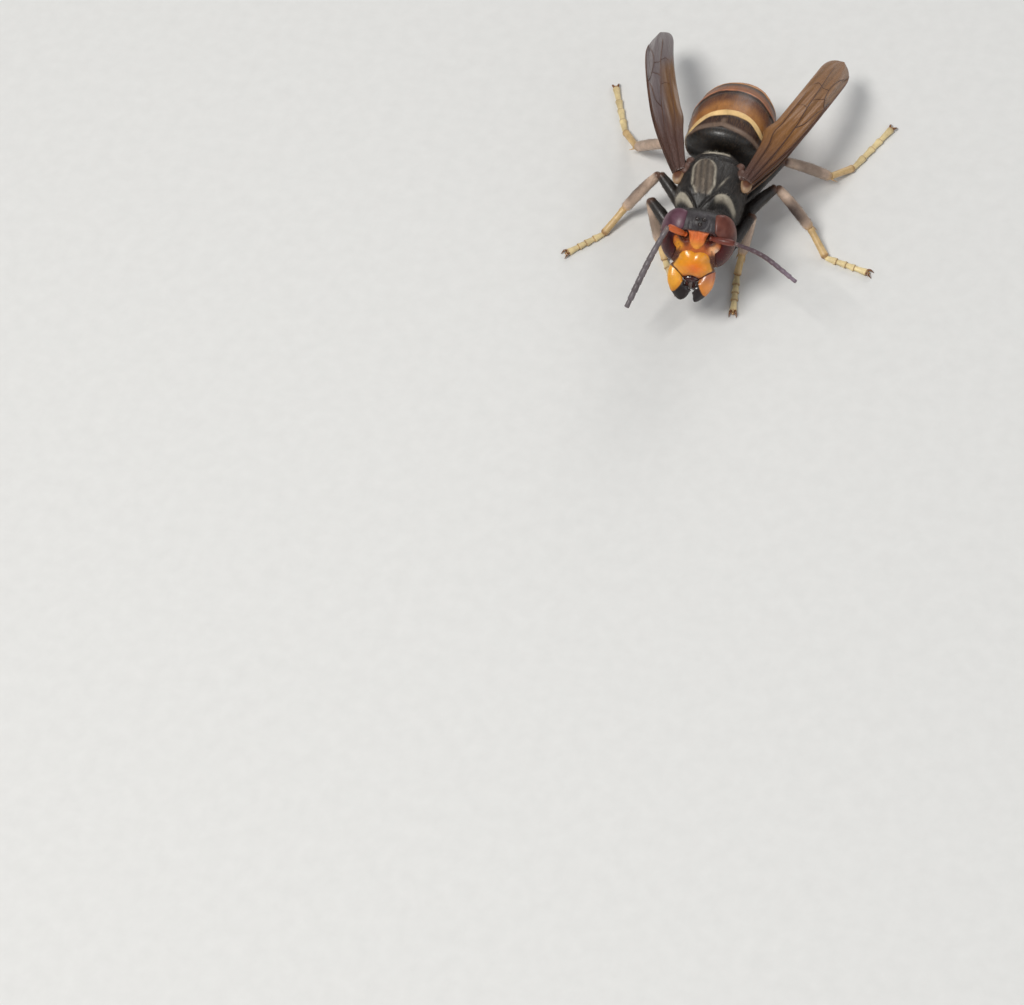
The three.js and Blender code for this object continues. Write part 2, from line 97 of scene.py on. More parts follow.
def set_studio():
    scene = bpy.context.scene
    scene.view_settings.view_transform = "Standard"
    world = bpy.data.worlds.new("studio")
    world.use_nodes = True
    sky = world.node_tree.nodes["Background"]
    sky.inputs["Color"].default_value = (0.95, 0.97, 1.0, 1)
    sky.inputs["Strength"].default_value = 0.3
    scene.world = world
    add_light("key", place=(-0.13, -0.17, 0.38), size=0.13, watts=1.25, colour=(1.0, 0.98, 0.94))
    add_light("fill", place=(0.3, -0.22, 0.2), size=0.25, watts=0.2, colour=(0.93, 0.96, 1.0))
    add_light("back", place=(0.08, 0.4, 0.22), size=0.2, watts=0.5, colour=(1.0, 0.98, 0.95))
    mesh = bpy.data.meshes.new("floor")
    mesh.from_pydata(FLOOR_CORNERS, [], [(0, 1, 2, 3)])
    floor = bpy.data.objects.new("floor", mesh)
    scene.collection.objects.link(floor)
    floor.data.materials.append(floor_paper())


# Shader nodes

class Nodes:
    """Short hand for building a node tree."""

    def __init__(self, tree):
        self.tree = tree

    def add(self, kind, settings=None, **inputs):
        node = self.tree.nodes.new(kind)
        for key, value in (settings or {}).items():
            setattr(node, key, value)
        for key, value in inputs.items():
            self.feed(node, key.replace("_", " "), value)
        return node

    def feed(self, node, key, value):
        socket = node.inputs[int(key) if key.isdigit() else key]
        if isinstance(value, bpy.types.NodeSocket):
            self.tree.links.new(value, socket)
        else:
            socket.default_value = value

    def math(self, operation, first, second=0.0):
        node = self.tree.nodes.new("ShaderNodeMath")
        node.operation = operation
        self.feed(node, "0", first)
        self.feed(node, "1", second)
        return node.outputs[0]

    def mix(self, kind, factor, first, second):
        node = self.tree.nodes.new("ShaderNodeMix")
        node.data_type, node.blend_type = "RGBA", kind
        node.clamp_factor = True
        self.feed(node, "0", factor)
        self.feed(node, "6", first)
        self.feed(node, "7", second)
        return node.outputs[2]

    def mottled(self, colour, mask, shade):
        """The colour where the mask is full, and a shaded one where it is empty."""
        return self.mix("MIX", mask, self.mix("MULTIPLY", 1.0, colour, (*shade, 1)), colour)

    def ramp(self, factor, low, high):
        node = self.tree.nodes.new("ShaderNodeMapRange")
        node.clamp = True
        self.feed(node, "Value", factor)
        self.feed(node, "From Min", low)
        self.feed(node, "From Max", high)
        return node.outputs[0]

    def noise(self, where, scale, detail=3.0, rough=0.55):
        return self.add("ShaderNodeTexNoise", None, Vector=where, Scale=scale, Detail=detail,
                        Roughness=rough).outputs["Fac"]

    def cells(self, where, scale, feature="F1"):
        return self.add("ShaderNodeTexVoronoi", {"feature": feature}, Vector=where,
                        Scale=scale).outputs["Distance"]

    def stretched(self, where, scale):
        return self.add("ShaderNodeMapping", None, Vector=where, Scale=scale).outputs[0]

    def attribute(self, name, output="Fac"):
        return self.add("ShaderNodeAttribute", {"attribute_name": name}).outputs[output]

    def where(self):
        return self.add("ShaderNodeTexCoord").outputs["Object"]

    def bump(self, height, strength, distance):
        return self.add("ShaderNodeBump", None, Height=height, Strength=strength,
                        Distance=distance).outputs[0]


def new_group(name, inputs, outputs):
    """A shader node group with named inputs (name, kind, value) and outputs (name, kind)."""
    group = bpy.data.node_groups.new(name, "ShaderNodeTree")
    for key, kind, value in inputs:
        socket = group.interface.new_socket(key, in_out="INPUT", socket_type="NodeSocket" + kind)
        if value is not None:
            socket.default_value = value
    for key, kind in outputs:
        group.interface.new_socket(key, in_out="OUTPUT", socket_type="NodeSocket" + kind)
    nodes = Nodes(group)
    source = nodes.add("NodeGroupInput").outputs
    sink = nodes.add("NodeGroupOutput")
    return group, nodes, source, sink


def shell_grain_group():
    """Fine pits and soft waves of a horny shell."""
    group, n, source, sink = new_group(
        "shell grain", [("Place", "Vector", None), ("Pit size", "Float", 0.06), ("Wave", "Float", 0.4)],
        [("Height", "Float"), ("Shade", "Float")])
    scale = n.math("DIVIDE", 1000.0, source["Pit size"])
    pits = n.ramp(n.cells(source["Place"], scale, "SMOOTH_F1"), 0.0, 0.55)
    waves = n.noise(source["Place"], n.math("MULTIPLY", scale, 0.12), 2.0)
    height = n.math("ADD", pits, n.math("MULTIPLY", waves, source["Wave"]))
    n.feed(sink, "Height", height)
    n.feed(sink, "Shade", n.ramp(n.noise(source["Place"], n.math("MULTIPLY", scale, 0.06), 4.0), 0.3, 0.75))
    return group


def short_nap_group():
    """Short hair that lies flat, as streaks drawn out along the body."""
    group, n, source, sink = new_group(
        "short nap", [("Place", "Vector", None), ("Streaks", "Float", 9000.0), ("Draw", "Float", 0.16)],
        [("Height", "Float"), ("Mask", "Float")])
    draw = n.add("ShaderNodeCombineXYZ", None, X=1.0, Y=source["Draw"], Z=0.6).outputs[0]
    drawn = n.stretched(source["Place"], draw)
    streaks = n.noise(drawn, source["Streaks"], 2.0, 0.6)
    n.feed(sink, "Height", streaks)
    n.feed(sink, "Mask", n.ramp(streaks, 0.45, 0.7))
    return group


def new_material(name, **values):
    material = bpy.data.materials.new(name)
    material.use_nodes = True
    n = Nodes(material.node_tree)
    shader = material.node_tree.nodes["Principled BSDF"]
    for key, value in values.items():
        shader.inputs[key.replace("_", " ")].default_value = value
    return material, n, shader


def use_group(n, group, **inputs):
    node = n.tree.nodes.new("ShaderNodeGroup")
    node.node_tree = group
    for key, value in inputs.items():
        n.feed(node, key.replace("_", " "), value)
    return node.outputs


GRAIN = shell_grain_group()
NAP = short_nap_group()
SHELL_RELIEF, FACET_RELIEF, MEMBRANE_RELIEF = 0.00001, 0.000008, 0.00009   # metres


def floor_paper():
    material, n, shader = new_material("floor paper", Roughness=0.85)
    where = n.where()
    shade = n.noise(where, 900.0, 5.0)
    colour = n.mix("MIX", shade, (0.70, 0.70, 0.69, 1), (0.78, 0.78, 0.77, 1))
    n.feed(shader, "Base Color", colour)
    n.feed(shader, "Normal", n.bump(shade, 0.15, 0.0001))
    return material


def tinted_shell(name, rough, nap, coat, pit=0.06, bleach=0.25):
    """Shell whose colour is its tint attribute, with pits and a nap of short hair."""
    material, n, shader = new_material(name, Coat_Weight=coat, Coat_Roughness=0.16)
    where = n.where()
    grain = use_group(n, GRAIN, Place=where, Pit_size=pit)
    hairs = use_group(n, NAP, Place=where)
    colour = n.mottled(n.attribute("tint", "Color"), grain["Shade"], (0.55, 0.52, 0.5))
    colour = n.mix("MIX", n.math("MULTIPLY", hairs["Mask"], bleach), colour, n.attribute("dust", "Color"))
    height = n.math("ADD", n.math("MULTIPLY", hairs["Height"], nap), grain["Height"])
    n.feed(shader, "Base Color", colour)
    n.feed(shader, "Roughness", n.math("ADD", rough, n.math("MULTIPLY", hairs["Mask"], 0.2)))
    n.feed(shader, "Normal", n.bump(height, 0.6, SHELL_RELIEF))
    return material


def coat_material(name, gain=1.0):
    """Hair whose colour is the dust attribute of its skin, uneven from tuft to tuft."""
    material, n, shader = new_material(name, Roughness=0.5, Sheen_Weight=0.15)
    variety = n.ramp(n.noise(n.where(), 6000.0, 1.0), 0.35, 0.7)
    hair = n.attribute("dust", "Color")
    dark = n.mix("MULTIPLY", 1.0, hair, (0.45, 0.42, 0.4, 1))
    light = n.mix("MULTIPLY", 1.0, hair, (gain, gain, gain, 1))
    n.feed(shader, "Base Color", n.mix("MIX", variety, dark, light))
    return material


def eye_material():
    """Compound eye: maroon, with very fine facets; its lighter, purplish upper part is a painted reflection
    carried in the tint.
    """
    material, n, shader = new_material("compound eye", Coat_Weight=0.2, Coat_Roughness=0.25,
                                       Specular_IOR_Level=0.22)
    where = n.where()
    facets = n.cells(where, 26000.0)
    patches = n.ramp(n.noise(where, 1300.0, 4.0), 0.3, 0.72)
    n.feed(shader, "Base Color", n.mottled(n.attribute("tint", "Color"), patches, (0.5, 0.4, 0.42)))
    n.feed(shader, "Roughness", n.math("ADD", 0.34, n.math("MULTIPLY", patches, 0.15)))
    n.feed(shader, "Normal", n.bump(facets, 0.35, FACET_RELIEF))
    return material


def wing_material():
    """Smoky brown membrane, let through by light, with fine wrinkles between the veins."""
    material, n, shader = new_material("wing membrane", Coat_Weight=0.5, Coat_Roughness=0.22)
    flow = n.add("ShaderNodeCombineXYZ", None, X=n.math("MULTIPLY", n.attribute("way"), 9.0),
                 Y=n.math("MULTIPLY", n.attribute("chord"), 7.0), Z=0.0).outputs[0]
    wrinkles = n.noise(flow, 3.0, 5.0, 0.65)
    pleats = n.noise(n.stretched(flow, (0.25, 2.2, 1.0)), 3.0, 2.0)
    hairs = n.noise(n.stretched(n.where(), (1.0, 0.35, 1.0)), 14000.0, 1.0)
    shade = n.ramp(wrinkles, 0.35, 0.68)
    n.feed(shader, "Base Color", n.mottled(n.attribute("tint", "Color"), shade, (0.55, 0.5, 0.47)))
    n.feed(shader, "Roughness", n.math("ADD", 0.26, n.math("MULTIPLY", hairs, 0.2)))
    n.feed(shader, "Alpha", n.math("SUBTRACT", 0.86, n.math("MULTIPLY", shade, 0.18)))
    height = n.math("ADD", n.math("ADD", wrinkles, pleats), n.math("MULTIPLY", hairs, 0.2))
    n.feed(shader, "Normal", n.bump(height, 0.5, MEMBRANE_RELIEF))
    return material


# Meshes

def power(value, exponent):
    """A power that keeps the sign."""
    return np.sign(value) * np.abs(value) ** exponent


def bump(x, middle, width):
    """A soft hump: 1 at the middle, nearly 0 two widths away."""
    return np.exp(-(((x - middle) / width) ** 2))


def step(x, low, high):
    """A soft rise from 0 at low to 1 at high."""
    s = np.clip((x - low) / (high - low), 0, 1)
    return s * s * (3 - 2 * s)


def colour_of(red, green, blue):
    """Linear colour of an everyday one from 0 to 255."""
    c = np.array([red, green, blue]) / 255
    return np.where(c <= 0.04045, c / 12.92, ((c + 0.055) / 1.055) ** 2.4)


def palette(**colours):
    """Named colours, each given by its red, green and blue from 0 to 255."""
    return SimpleNamespace(**{name: colour_of(*rgb) for name, rgb in colours.items()})


def blend(first, second, share):
    share = np.asarray(share)[..., None]
    return first * (1 - share) + second * share


def unit(a):
    """Directions of length 1."""
    return a / np.maximum(np.linalg.norm(a, axis=-1, keepdims=True), 1e-12)


def ring_faces(rows, cols):
    """Faces of a closed rod: one point, rings of points in rows, one point."""
    j = np.arange(cols)
    k = (j + 1) % cols
    faces = [(0, 1 + b, 1 + c) for b, c in zip(k.tolist(), j.tolist())]
    for i in range(rows - 1):
        low, high = 1 + i * cols, 1 + (i + 1) * cols
        faces += list(zip((low + j).tolist(), (low + k).tolist(), (high + k).tolist(), (high + j).tolist()))
    base = 1 + (rows - 1) * cols
    return faces + [(base + cols, base + b, base + c) for b, c in zip(j.tolist(), k.tolist())]


def in_frame(points):
    return (points + ORIGIN_SHIFT) * MM


def build_mesh(name, points, faces, attributes=None, material=None):
    """A smooth mesh object in the frame, from points in millimetres, its faces turned outwards."""
    placed = in_frame(np.asarray(points, float))
    mesh = bpy.data.meshes.new(name)
    mesh.from_pydata(placed.tolist(), [], [list(f) for f in faces])
    mesh.validate()
    if signed_volume(mesh) < 0:
        mesh.flip_normals()
    mesh.polygons.foreach_set("use_smooth", np.ones(len(mesh.polygons), bool))
    for key, values in (attributes or {}).items():
        values = np.asarray(values, np.float32)
        if values.ndim == 1:
            mesh.attributes.new(key, "FLOAT", "POINT").data.foreach_set("value", values)
        elif key in ("tint", "dust"):
            rgba = np.concatenate([values, np.ones((len(values), 1), np.float32)], 1)
            mesh.attributes.new(key, "FLOAT_COLOR", "POINT").data.foreach_set("color", rgba.ravel())
        else:
            mesh.attributes.new(key, "FLOAT_VECTOR", "POINT").data.foreach_set("vector", values.ravel())
    if material:
        mesh.materials.append(material)
    mesh.update()
    piece = bpy.data.objects.new(name, mesh)
    bpy.context.scene.collection.objects.link(piece)
    return piece


def signed_volume(mesh):
    mesh.calc_loop_triangles()
    corners = np.zeros(len(mesh.loop_triangles) * 3, np.int32)
    mesh.loop_triangles.foreach_get("vertices", corners)
    places = np.zeros(len(mesh.vertices) * 3, np.float32)
    mesh.vertices.foreach_get("co", places)
    t = places.reshape(-1, 3).astype(float)[corners.reshape(-1, 3)]
    return float(np.einsum("ij,ij->i", t[:, 0], np.cross(t[:, 1], t[:, 2])).sum())


def polar_grid(rows, cols):
    """Parameters (t from pole to pole, a round) and faces of a closed surface."""
    t = np.arange(rows + 1) / rows if np.isscalar(rows) else np.asarray(rows, float)
    a = np.arange(cols) / cols * TAU
    all_t = np.concatenate([t[:1], np.repeat(t[1:-1], cols), t[-1:]])
    all_a = np.concatenate([[0.0], np.tile(a, len(t) - 2), [0.0]])
    return all_t, all_a, ring_faces(len(t) - 2, cols)


def unwrap_of(t, a):
    """Place on a round unwrap of a polar surface, from its first pole in the middle."""
    return np.stack([0.5 + 0.48 * t * np.cos(a), 0.5 + 0.48 * t * np.sin(a), np.zeros_like(t)], -1)


def lie_of(place, t, a):
    """Direction along the surface away from the first pole, in which its hair lies."""
    ahead = np.clip(t + 0.004, 0, 1)
    behind = np.clip(t - 0.004, 0, 1)
    return unit(place(ahead, a) - place(behind, a))


def smooth_line(points, count, closed=False):
    """Points of a Catmull-Rom curve through the given ones."""
    p = np.asarray(points, float)
    ends = (p[-1:], p[:2]) if closed else (2 * p[:1] - p[1:2], 2 * p[-1:] - p[-2:-1])
    q = np.concatenate([ends[0], p, ends[1]])
    spans = len(q) - 3
    s = np.linspace(0, spans, count, endpoint=not closed)
    i = np.minimum(s.astype(int), spans - 1)
    u = (s - i)[:, None]
    a, b, c, d = q[i], q[i + 1], q[i + 2], q[i + 3]
    return 0.5 * (2 * b + (c - a) * u + (2 * a - 5 * b + 4 * c - d) * u ** 2
                  + (3 * b - a - 3 * c + d) * u ** 3)


def even_line(points, shares):
    """Points at the given shares of the length of a smooth line."""
    fine = smooth_line(points, 400)
    run = np.concatenate([[0], np.cumsum(np.linalg.norm(np.diff(fine, axis=0), axis=1))])
    return np.stack([np.interp(shares * run[-1], run, fine[:, k]) for k in range(3)], -1)


def tube(points, outline, rows=40, cols=16, flatness=1.0, shares=None):
    """Closed rod along a line. outline gives (share, radius); returns points, faces, share, angle."""
    shares = np.linspace(0, 1, rows) if shares is None else np.asarray(shares)
    line = even_line(points, shares)
    along = unit(np.gradient(line, axis=0))
    across = unit(np.cross(along, [0.0, 0.0, 1.0]))
    over = unit(np.cross(across, along))
    at, size = (np.array(c, float) for c in zip(*outline))
    radius = np.interp(shares, at, size)[:, None, None]
    a = np.arange(cols) / cols * TAU
    rings = (line[:, None] + radius * np.cos(a)[None, :, None] * across[:, None]
             + radius * flatness * np.sin(a)[None, :, None] * over[:, None])
    share = np.concatenate([[0], np.repeat(shares, cols), [1]])
    angle = np.concatenate([[0], np.tile(a, len(shares)), [0]])
    points = np.concatenate([line[:1], rings.reshape(-1, 3), line[-1:]])
    return points, ring_faces(len(shares), cols), share, angle


def ball(middle, radius, rows, cols):
    t, a, faces = polar_grid(rows, cols)
    fall = np.sin(math.pi * t)
    local = np.stack([radius[0] * fall * np.cos(a), radius[1] * fall * np.sin(a),
                      radius[2] * np.cos(math.pi * t)], -1)
    return local + np.array(middle), faces


def join_shapes(shapes):
    """One set of points and faces, and the number of points of each shape."""
    points, faces, counts, base = [], [], [], 0
    for shape_points, shape_faces in shapes:
        points.append(shape_points)
        faces += [tuple(i + base for i in f) for f in shape_faces]
        counts.append(len(shape_points))
        base += len(shape_points)
    return np.concatenate(points), faces, counts


def stand_for(piece, slot, *nodes):
    """The piece rides on the one body and replaces CAD nodes; its slot is not used."""
    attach(piece, "root")
    if nodes:
        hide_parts(*nodes)
    return piece


def make_piece(name, points, faces, tint, material, slot, *nodes, **attributes):
    """A piece of the insect, whose material shows its tint."""
    piece = build_mesh(name, points, faces, {"tint": tint, **attributes}, material)
    return stand_for(piece, slot, *nodes)


def make_shell(name, points, faces, tint, *rest, **attributes):
    """A piece of shell, whose nap and coat of hair show its dust: the tint, unless another is given."""
    return make_piece(name, points, faces, tint, *rest, **{"dust": tint, **attributes})


# Coat of short hair

TUFT_PATCH, TUFT_PATCH_WIDTH, TUFT_PATCH_TURN = 0.003, 0.0015, 9.0   # on the unwrap of the skin


def coat_tree():
    """Tufts of hair, scattered over a skin where it is furry, lying along its lie."""
    tree = bpy.data.node_groups.new("coat of tufts", "GeometryNodeTree")
    face = tree.interface
    face.new_socket("Geometry", in_out="INPUT", socket_type="NodeSocketGeometry")
    for key, value in (("Density", 1e8), ("Length", 0.0004), ("Thickness", 0.00002), ("Lift", 0.5),
                       ("Curl", 0.3), ("Unevenness", 0.35)):
        face.new_socket(key, in_out="INPUT", socket_type="NodeSocketFloat").default_value = value
    face.new_socket("Seed", in_out="INPUT", socket_type="NodeSocketInt").default_value = 1
    face.new_socket("Hair", in_out="INPUT", socket_type="NodeSocketMaterial")
    face.new_socket("Geometry", in_out="OUTPUT", socket_type="NodeSocketGeometry")
    n = Nodes(tree)
    source = n.add("NodeGroupInput").outputs
    sink = n.add("NodeGroupOutput")

    def named(name, kind):
        return n.add("GeometryNodeInputNamedAttribute", {"data_type": kind}, Name=name).outputs[0]

    def vectors(operation, *values, scale=None):
        node = n.add("ShaderNodeVectorMath", {"operation": operation})
        for i, value in enumerate(values):
            n.feed(node, str(i), value)
        if scale is not None:
            n.feed(node, "Scale", scale)
        return node.outputs[0]

    scatter = n.add("GeometryNodeDistributePointsOnFaces", {"distribute_method": "RANDOM"},
                    Mesh=source["Geometry"], Seed=source["Seed"],
                    Density=n.math("MULTIPLY", source["Density"], named("furry", "FLOAT")))
    noise = n.add("FunctionNodeRandomValue", {"data_type": "FLOAT_VECTOR"}, Seed=source["Seed"])
    noise.inputs["Min"].default_value = (-1, -1, -1)
    noise.inputs["Max"].default_value = (1, 1, 1)
    lean = vectors("ADD", named("lie", "FLOAT_VECTOR"),
                   vectors("SCALE", scatter.outputs["Normal"], scale=source["Lift"]))
    lean = vectors("ADD", lean, vectors("SCALE", noise.outputs[0], scale=source["Unevenness"]))
    upright = n.add("FunctionNodeAlignRotationToVector", {"axis": "Z"}, Vector=lean)
    turned = n.add("FunctionNodeAlignRotationToVector", {"axis": "X", "pivot_axis": "Z"},
                   Rotation=upright.outputs[0], Vector=scatter.outputs["Normal"])
    cone = n.add("GeometryNodeMeshCone", {"fill_type": "NGON"}, Vertices=3, Side_Segments=3,
                 Radius_Top=0.0, Radius_Bottom=source["Thickness"], Depth=source["Length"])
    place = n.add("GeometryNodeInputPosition").outputs[0]
    height = n.add("ShaderNodeSeparateXYZ", None, Vector=place).outputs["Z"]
    share = n.math("DIVIDE", height, source["Length"])
    reach = n.math("MULTIPLY", source["Curl"], n.math("MULTIPLY", source["Length"], -1.0))
    bow = n.math("MULTIPLY", n.math("MULTIPLY", share, share), reach)
    curved = n.add("GeometryNodeSetPosition", None, Geometry=cone.outputs["Mesh"],
                   Offset=n.add("ShaderNodeCombineXYZ", None, X=bow).outputs[0])
    marked = n.add("GeometryNodeStoreNamedAttribute", {"data_type": "FLOAT", "domain": "POINT"},
                   Geometry=curved.outputs[0], Name="along_tuft", Value=share)
    size = n.add("FunctionNodeRandomValue", {"data_type": "FLOAT"}, Seed=source["Seed"])
    size.inputs[2].default_value, size.inputs[3].default_value = 0.55, 1.15
    laid = n.add("GeometryNodeInstanceOnPoints", None, Points=scatter.outputs["Points"],
                 Instance=marked.outputs[0], Rotation=turned.outputs[0], Scale=size.outputs[1])
    real = n.add("GeometryNodeRealizeInstances", None, Geometry=laid.outputs[0])
    along = named("along_tuft", "FLOAT")
    swing = n.math("SINE", n.math("MULTIPLY", along, TUFT_PATCH_TURN))
    patch = n.add("ShaderNodeCombineXYZ", None, X=n.math("MULTIPLY", along, TUFT_PATCH),
                  Y=n.math("MULTIPLY", swing, TUFT_PATCH_WIDTH)).outputs[0]
    mapped = n.add("GeometryNodeStoreNamedAttribute", {"data_type": "FLOAT2", "domain": "CORNER"},
                   Geometry=real.outputs[0], Name="OFBake",
                   Value=vectors("ADD", named("unwrap", "FLOAT_VECTOR"), patch))
    smooth = n.add("GeometryNodeSetShadeSmooth", None, Geometry=mapped.outputs[0])
    painted = n.add("GeometryNodeSetMaterial", None, Geometry=smooth.outputs[0], Material=source["Hair"])
    n.feed(sink, "Geometry", painted.outputs[0])
    return tree


def grow_coat(skin, name, slot, material, **sizes):
    """A coat piece over a skin, as a plain mesh."""
    holder = bpy.data.objects.new(name + "_maker", skin.data.copy())
    bpy.context.scene.collection.objects.link(holder)
    modifier = holder.modifiers.new("coat", "NODES")
    modifier.node_group = COAT
    sockets = {s.name: s.identifier for s in COAT.interface.items_tree if s.in_out == "INPUT"}
    for key, value in sizes.items():
        modifier[sockets[key]] = value
    modifier[sockets["Hair"]] = material
    bpy.context.view_layer.update()
    result = bpy.data.meshes.new_from_object(holder.evaluated_get(bpy.context.evaluated_depsgraph_get()))
    result.name = name
    maker_mesh = holder.data
    bpy.data.objects.remove(holder)
    bpy.data.meshes.remove(maker_mesh)
    coat = bpy.data.objects.new(name, result)
    bpy.context.scene.collection.objects.link(coat)
    return stand_for(coat, slot)


COAT = coat_tree()


# Head

HEAD_PLACE = np.array([-0.05, -4.58, 6.9])
HEAD_YAW, HEAD_LIFT, HEAD_ROLL = (math.radians(d) for d in (7, 32, 7.5))
HEAD_TURN = np.array(Matrix.Rotation(HEAD_YAW, 3, "Z") @ Matrix.Rotation(-HEAD_LIFT, 3, "X")
                     @ Matrix.Rotation(HEAD_ROLL, 3, "Y"))
HEAD = SimpleNamespace(half_width=2.6, top=2.1, chin=2.3, front=1.2, back=1.25, hollow=0.4, inset=0.03,
                       square_above=2.6, square_below=2.1, fullness=0.72, flatness=0.85)
SHIELD_RISE, SOCKET_DEPTH, SOCKET_LIP, BROW_GROOVE = 0.1, 0.3, 0.07, 0.08
CROWN_RISE, CROWN_MOAT, CROWN_SIDE = 0.06, 0.05, 0.05
SHIELD_OUTLINE = [-0.42, -0.3, 0.0, 0.5, 0.95], [0.0, 0.2, 0.46, 0.64, 0.75]   # up, half width
SOCKET = np.array([0.85, 0.47])   # left and up, of an antenna's socket
CROWN_UP, OCELLI_UP = 1.55, 1.58
OCELLI = ((0, 1.42), (0.27, 1.7), (-0.27, 1.7))   # left and up, of the three simple eyes
OCELLUS_RADIUS = 0.15

BLACK, ASH = colour_of(22, 18, 17), colour_of(120, 112, 102)
FACE = palette(
    crown=(62, 57, 62), skin=(206, 104, 38), cheek=(72, 20, 10), left_patch=(255, 186, 128),
    right_patch=(250, 166, 30), glint=(255, 222, 196), socket_ring=(66, 12, 6), socket=(20, 4, 4),
    beside_shield=(120, 30, 8), shield_foot=(255, 168, 60), shield_top=(238, 122, 56), seam=(74, 18, 14),
    behind=(110, 46, 16), ocellus=(34, 16, 12), chin_hair=(196, 130, 66), crown_hair=(92, 86, 86))


def on_face(left, out, up):
    """Points in the head's own frame, from how far left, out of the face and up they are."""
    return np.stack(np.broadcast_arrays(np.asarray(left, float), -np.asarray(out, float),
                                        np.asarray(up, float)), -1)


def from_head(points):
    return np.asarray(points) @ HEAD_TURN.T + HEAD_PLACE


def to_head(points):
    return (np.asarray(points) - HEAD_PLACE) @ HEAD_TURN


def egg(points, middle, radius):
    """Rough distance outside an egg of the given half sizes, for points in the head's own frame."""
    radius = np.array(radius)
    return (np.linalg.norm((points - on_face(*middle)) / radius, axis=-1) - 1) * radius.min()


def shield_mask(left, up):
    """Orange shield between the antennae: broad above, pointed below."""
    half = np.interp(up, *SHIELD_OUTLINE)
    side = 1 - step(np.abs(left), half - 0.06, half + 0.04)
    return side * step(up, -0.44, -0.32) * (1 - step(up, 0.86, 0.97))


def head_place(t, a):
    """Points of the head, a squarish dome with the face in front and a shallow hollow behind."""
    up_share = np.sin(a)
    height = np.where(up_share > 0, HEAD.top, HEAD.chin) - HEAD.inset
    roundness = 2 / np.where(up_share > 0, HEAD.square_above, HEAD.square_below)
    spread = np.sin(math.pi * t) ** HEAD.fullness
    to_face = power(np.cos(math.pi * t), HEAD.flatness)
    depth = np.where(to_face > 0, HEAD.front, HEAD.back)
    hollow = np.where(to_face < 0, HEAD.hollow * (1 - spread) ** 2, 0)
    left = (HEAD.half_width - HEAD.inset) * spread * power(np.cos(a), roundness)
    up = height * spread * power(up_share, roundness)
    front = step(to_face, 0.0, 0.5)
    socket = np.hypot(np.abs(left) - SOCKET[0], up - SOCKET[1])
    crown = np.hypot(left, up - CROWN_UP)
    relief = (SHIELD_RISE * shield_mask(left, up) - SOCKET_DEPTH * (1 - step(socket, 0.14, 0.42))
              + SOCKET_LIP * bump(socket, 0.48, 0.1)
              - BROW_GROOVE * bump(left, 0, 0.05) * step(up, 0.3, 0.5) * (1 - step(up, 1.25, 1.4))
              + CROWN_RISE * bump(crown, 0, 0.4) - CROWN_MOAT * bump(crown, 0.52, 0.1)
              - CROWN_SIDE * bump(np.abs(left), 0.72, 0.07) * bump(up, 1.3, 0.3))
    return from_head(on_face(left, depth * to_face + hollow + relief * front, up))


def head_tints(points):
    """Colours of the head: black crown under a painted slate sheen, tawny face, antenna sockets darkened with
    painted shade, dark cheeks, orange shield, and painted highlights beside the left eye.
    """
    local = to_head(points)
    left, out, up = np.abs(local[:, 0]), -local[:, 1], local[:, 2]
    front = step(out, 0.0, 0.5)
    # Over the black of the top front the slate grey is a painted sheen; it is darker round the simple eyes.
    crown = blend(BLACK, FACE.crown, step(out, -0.2, 0.6) * step(up, 0.8, 1.2))
    crown = blend(crown, BLACK * 0.5, bump(np.hypot(local[:, 0], up - OCELLI_UP), 0.0, 0.3) * 0.8)
    face = blend(crown, FACE.skin, (1 - step(up, 0.3, 0.5)) * step(out, -0.5, 0.1))
    low_cheek = step(left, 0.85, 1.05) * step(-up, 0.45, 0.8) * (1 - step(-up, 1.7, 2.0))
    face = blend(face, FACE.cheek, low_cheek * front)
    # On the left the amber patch is paler, a painted highlight over the same orange as the right; the glint
    # beside it is a painted highlight too.
    patch = np.where(local[:, :1] > 0, FACE.left_patch, FACE.right_patch)
    face = blend(face, patch, np.clip(1.3 * bump(left, 1.2, 0.3) * bump(up, -0.25, 0.36), 0, 1) * front)
    glint = bump(local[:, 0], 1.48, 0.18) * bump(up, -0.36, 0.22) * front
    face = blend(face, FACE.glint, glint)
    socket = np.hypot(left - SOCKET[0], up - SOCKET[1])
    # The dark ring and the near-black middle are painted shade in the recessed antenna sockets.
    face = blend(face, FACE.socket_ring, (1 - step(socket, 0.4, 0.66)) * front)
    face = blend(face, FACE.socket, (1 - step(socket, 0.16, 0.34)) * front)
    face = blend(face, FACE.beside_shield, bump(left, 0.72, 0.2) * bump(up, -0.1, 0.28) * front)
    shield = shield_mask(local[:, 0], up) * front
    face = blend(face, blend(FACE.shield_foot, FACE.shield_top, step(up, -0.3, 0.5)), shield)
    seam = bump(left - 1.02 + 0.25 * up, 0, 0.07) * (up < -0.35) * front
    face = blend(face, FACE.seam, 0.6 * seam)
    behind = 1 - step(out, -0.7, -0.2)
    return blend(face, blend(FACE.behind, BLACK, step(up, -0.6, 0.9)), behind)


def make_head(shell, hair, gloss):
    t, a, faces = polar_grid(150, 220)
    points = head_place(t, a)
    left, back, up = to_head(points).T
    bare = np.clip(shield_mask(left, up) + (back > 0.7), 0, 1)
    skin = make_shell("head_skin", points, faces, head_tints(points), shell, "head", "head",
                      dust=blend(FACE.chin_hair, FACE.crown_hair, step(up, 0.0, 0.9)),
                      lie=lie_of(head_place, t, a), furry=(1 - bare) * (t > 0.03) * (t < 0.8),
                      unwrap=unwrap_of(t, a))
    grow_coat(skin, "head_coat", "head", hair, Density=6.5e7, Length=0.00024, Thickness=0.000008,
              Lift=0.9, Curl=0.2, Seed=3)
    ocelli = []
    for at_left, at_up in OCELLI:
        away = np.where(back > 0, np.inf, np.hypot(left - at_left, up - at_up))
        ocelli.append(ball(points[np.argmin(away)], [OCELLUS_RADIUS] * 3, 10, 14))
    points, faces, _ = join_shapes(ocelli)
    make_shell("ocelli", points, faces, np.tile(FACE.ocellus, (len(points), 1)), gloss, "eye")


# Eyes

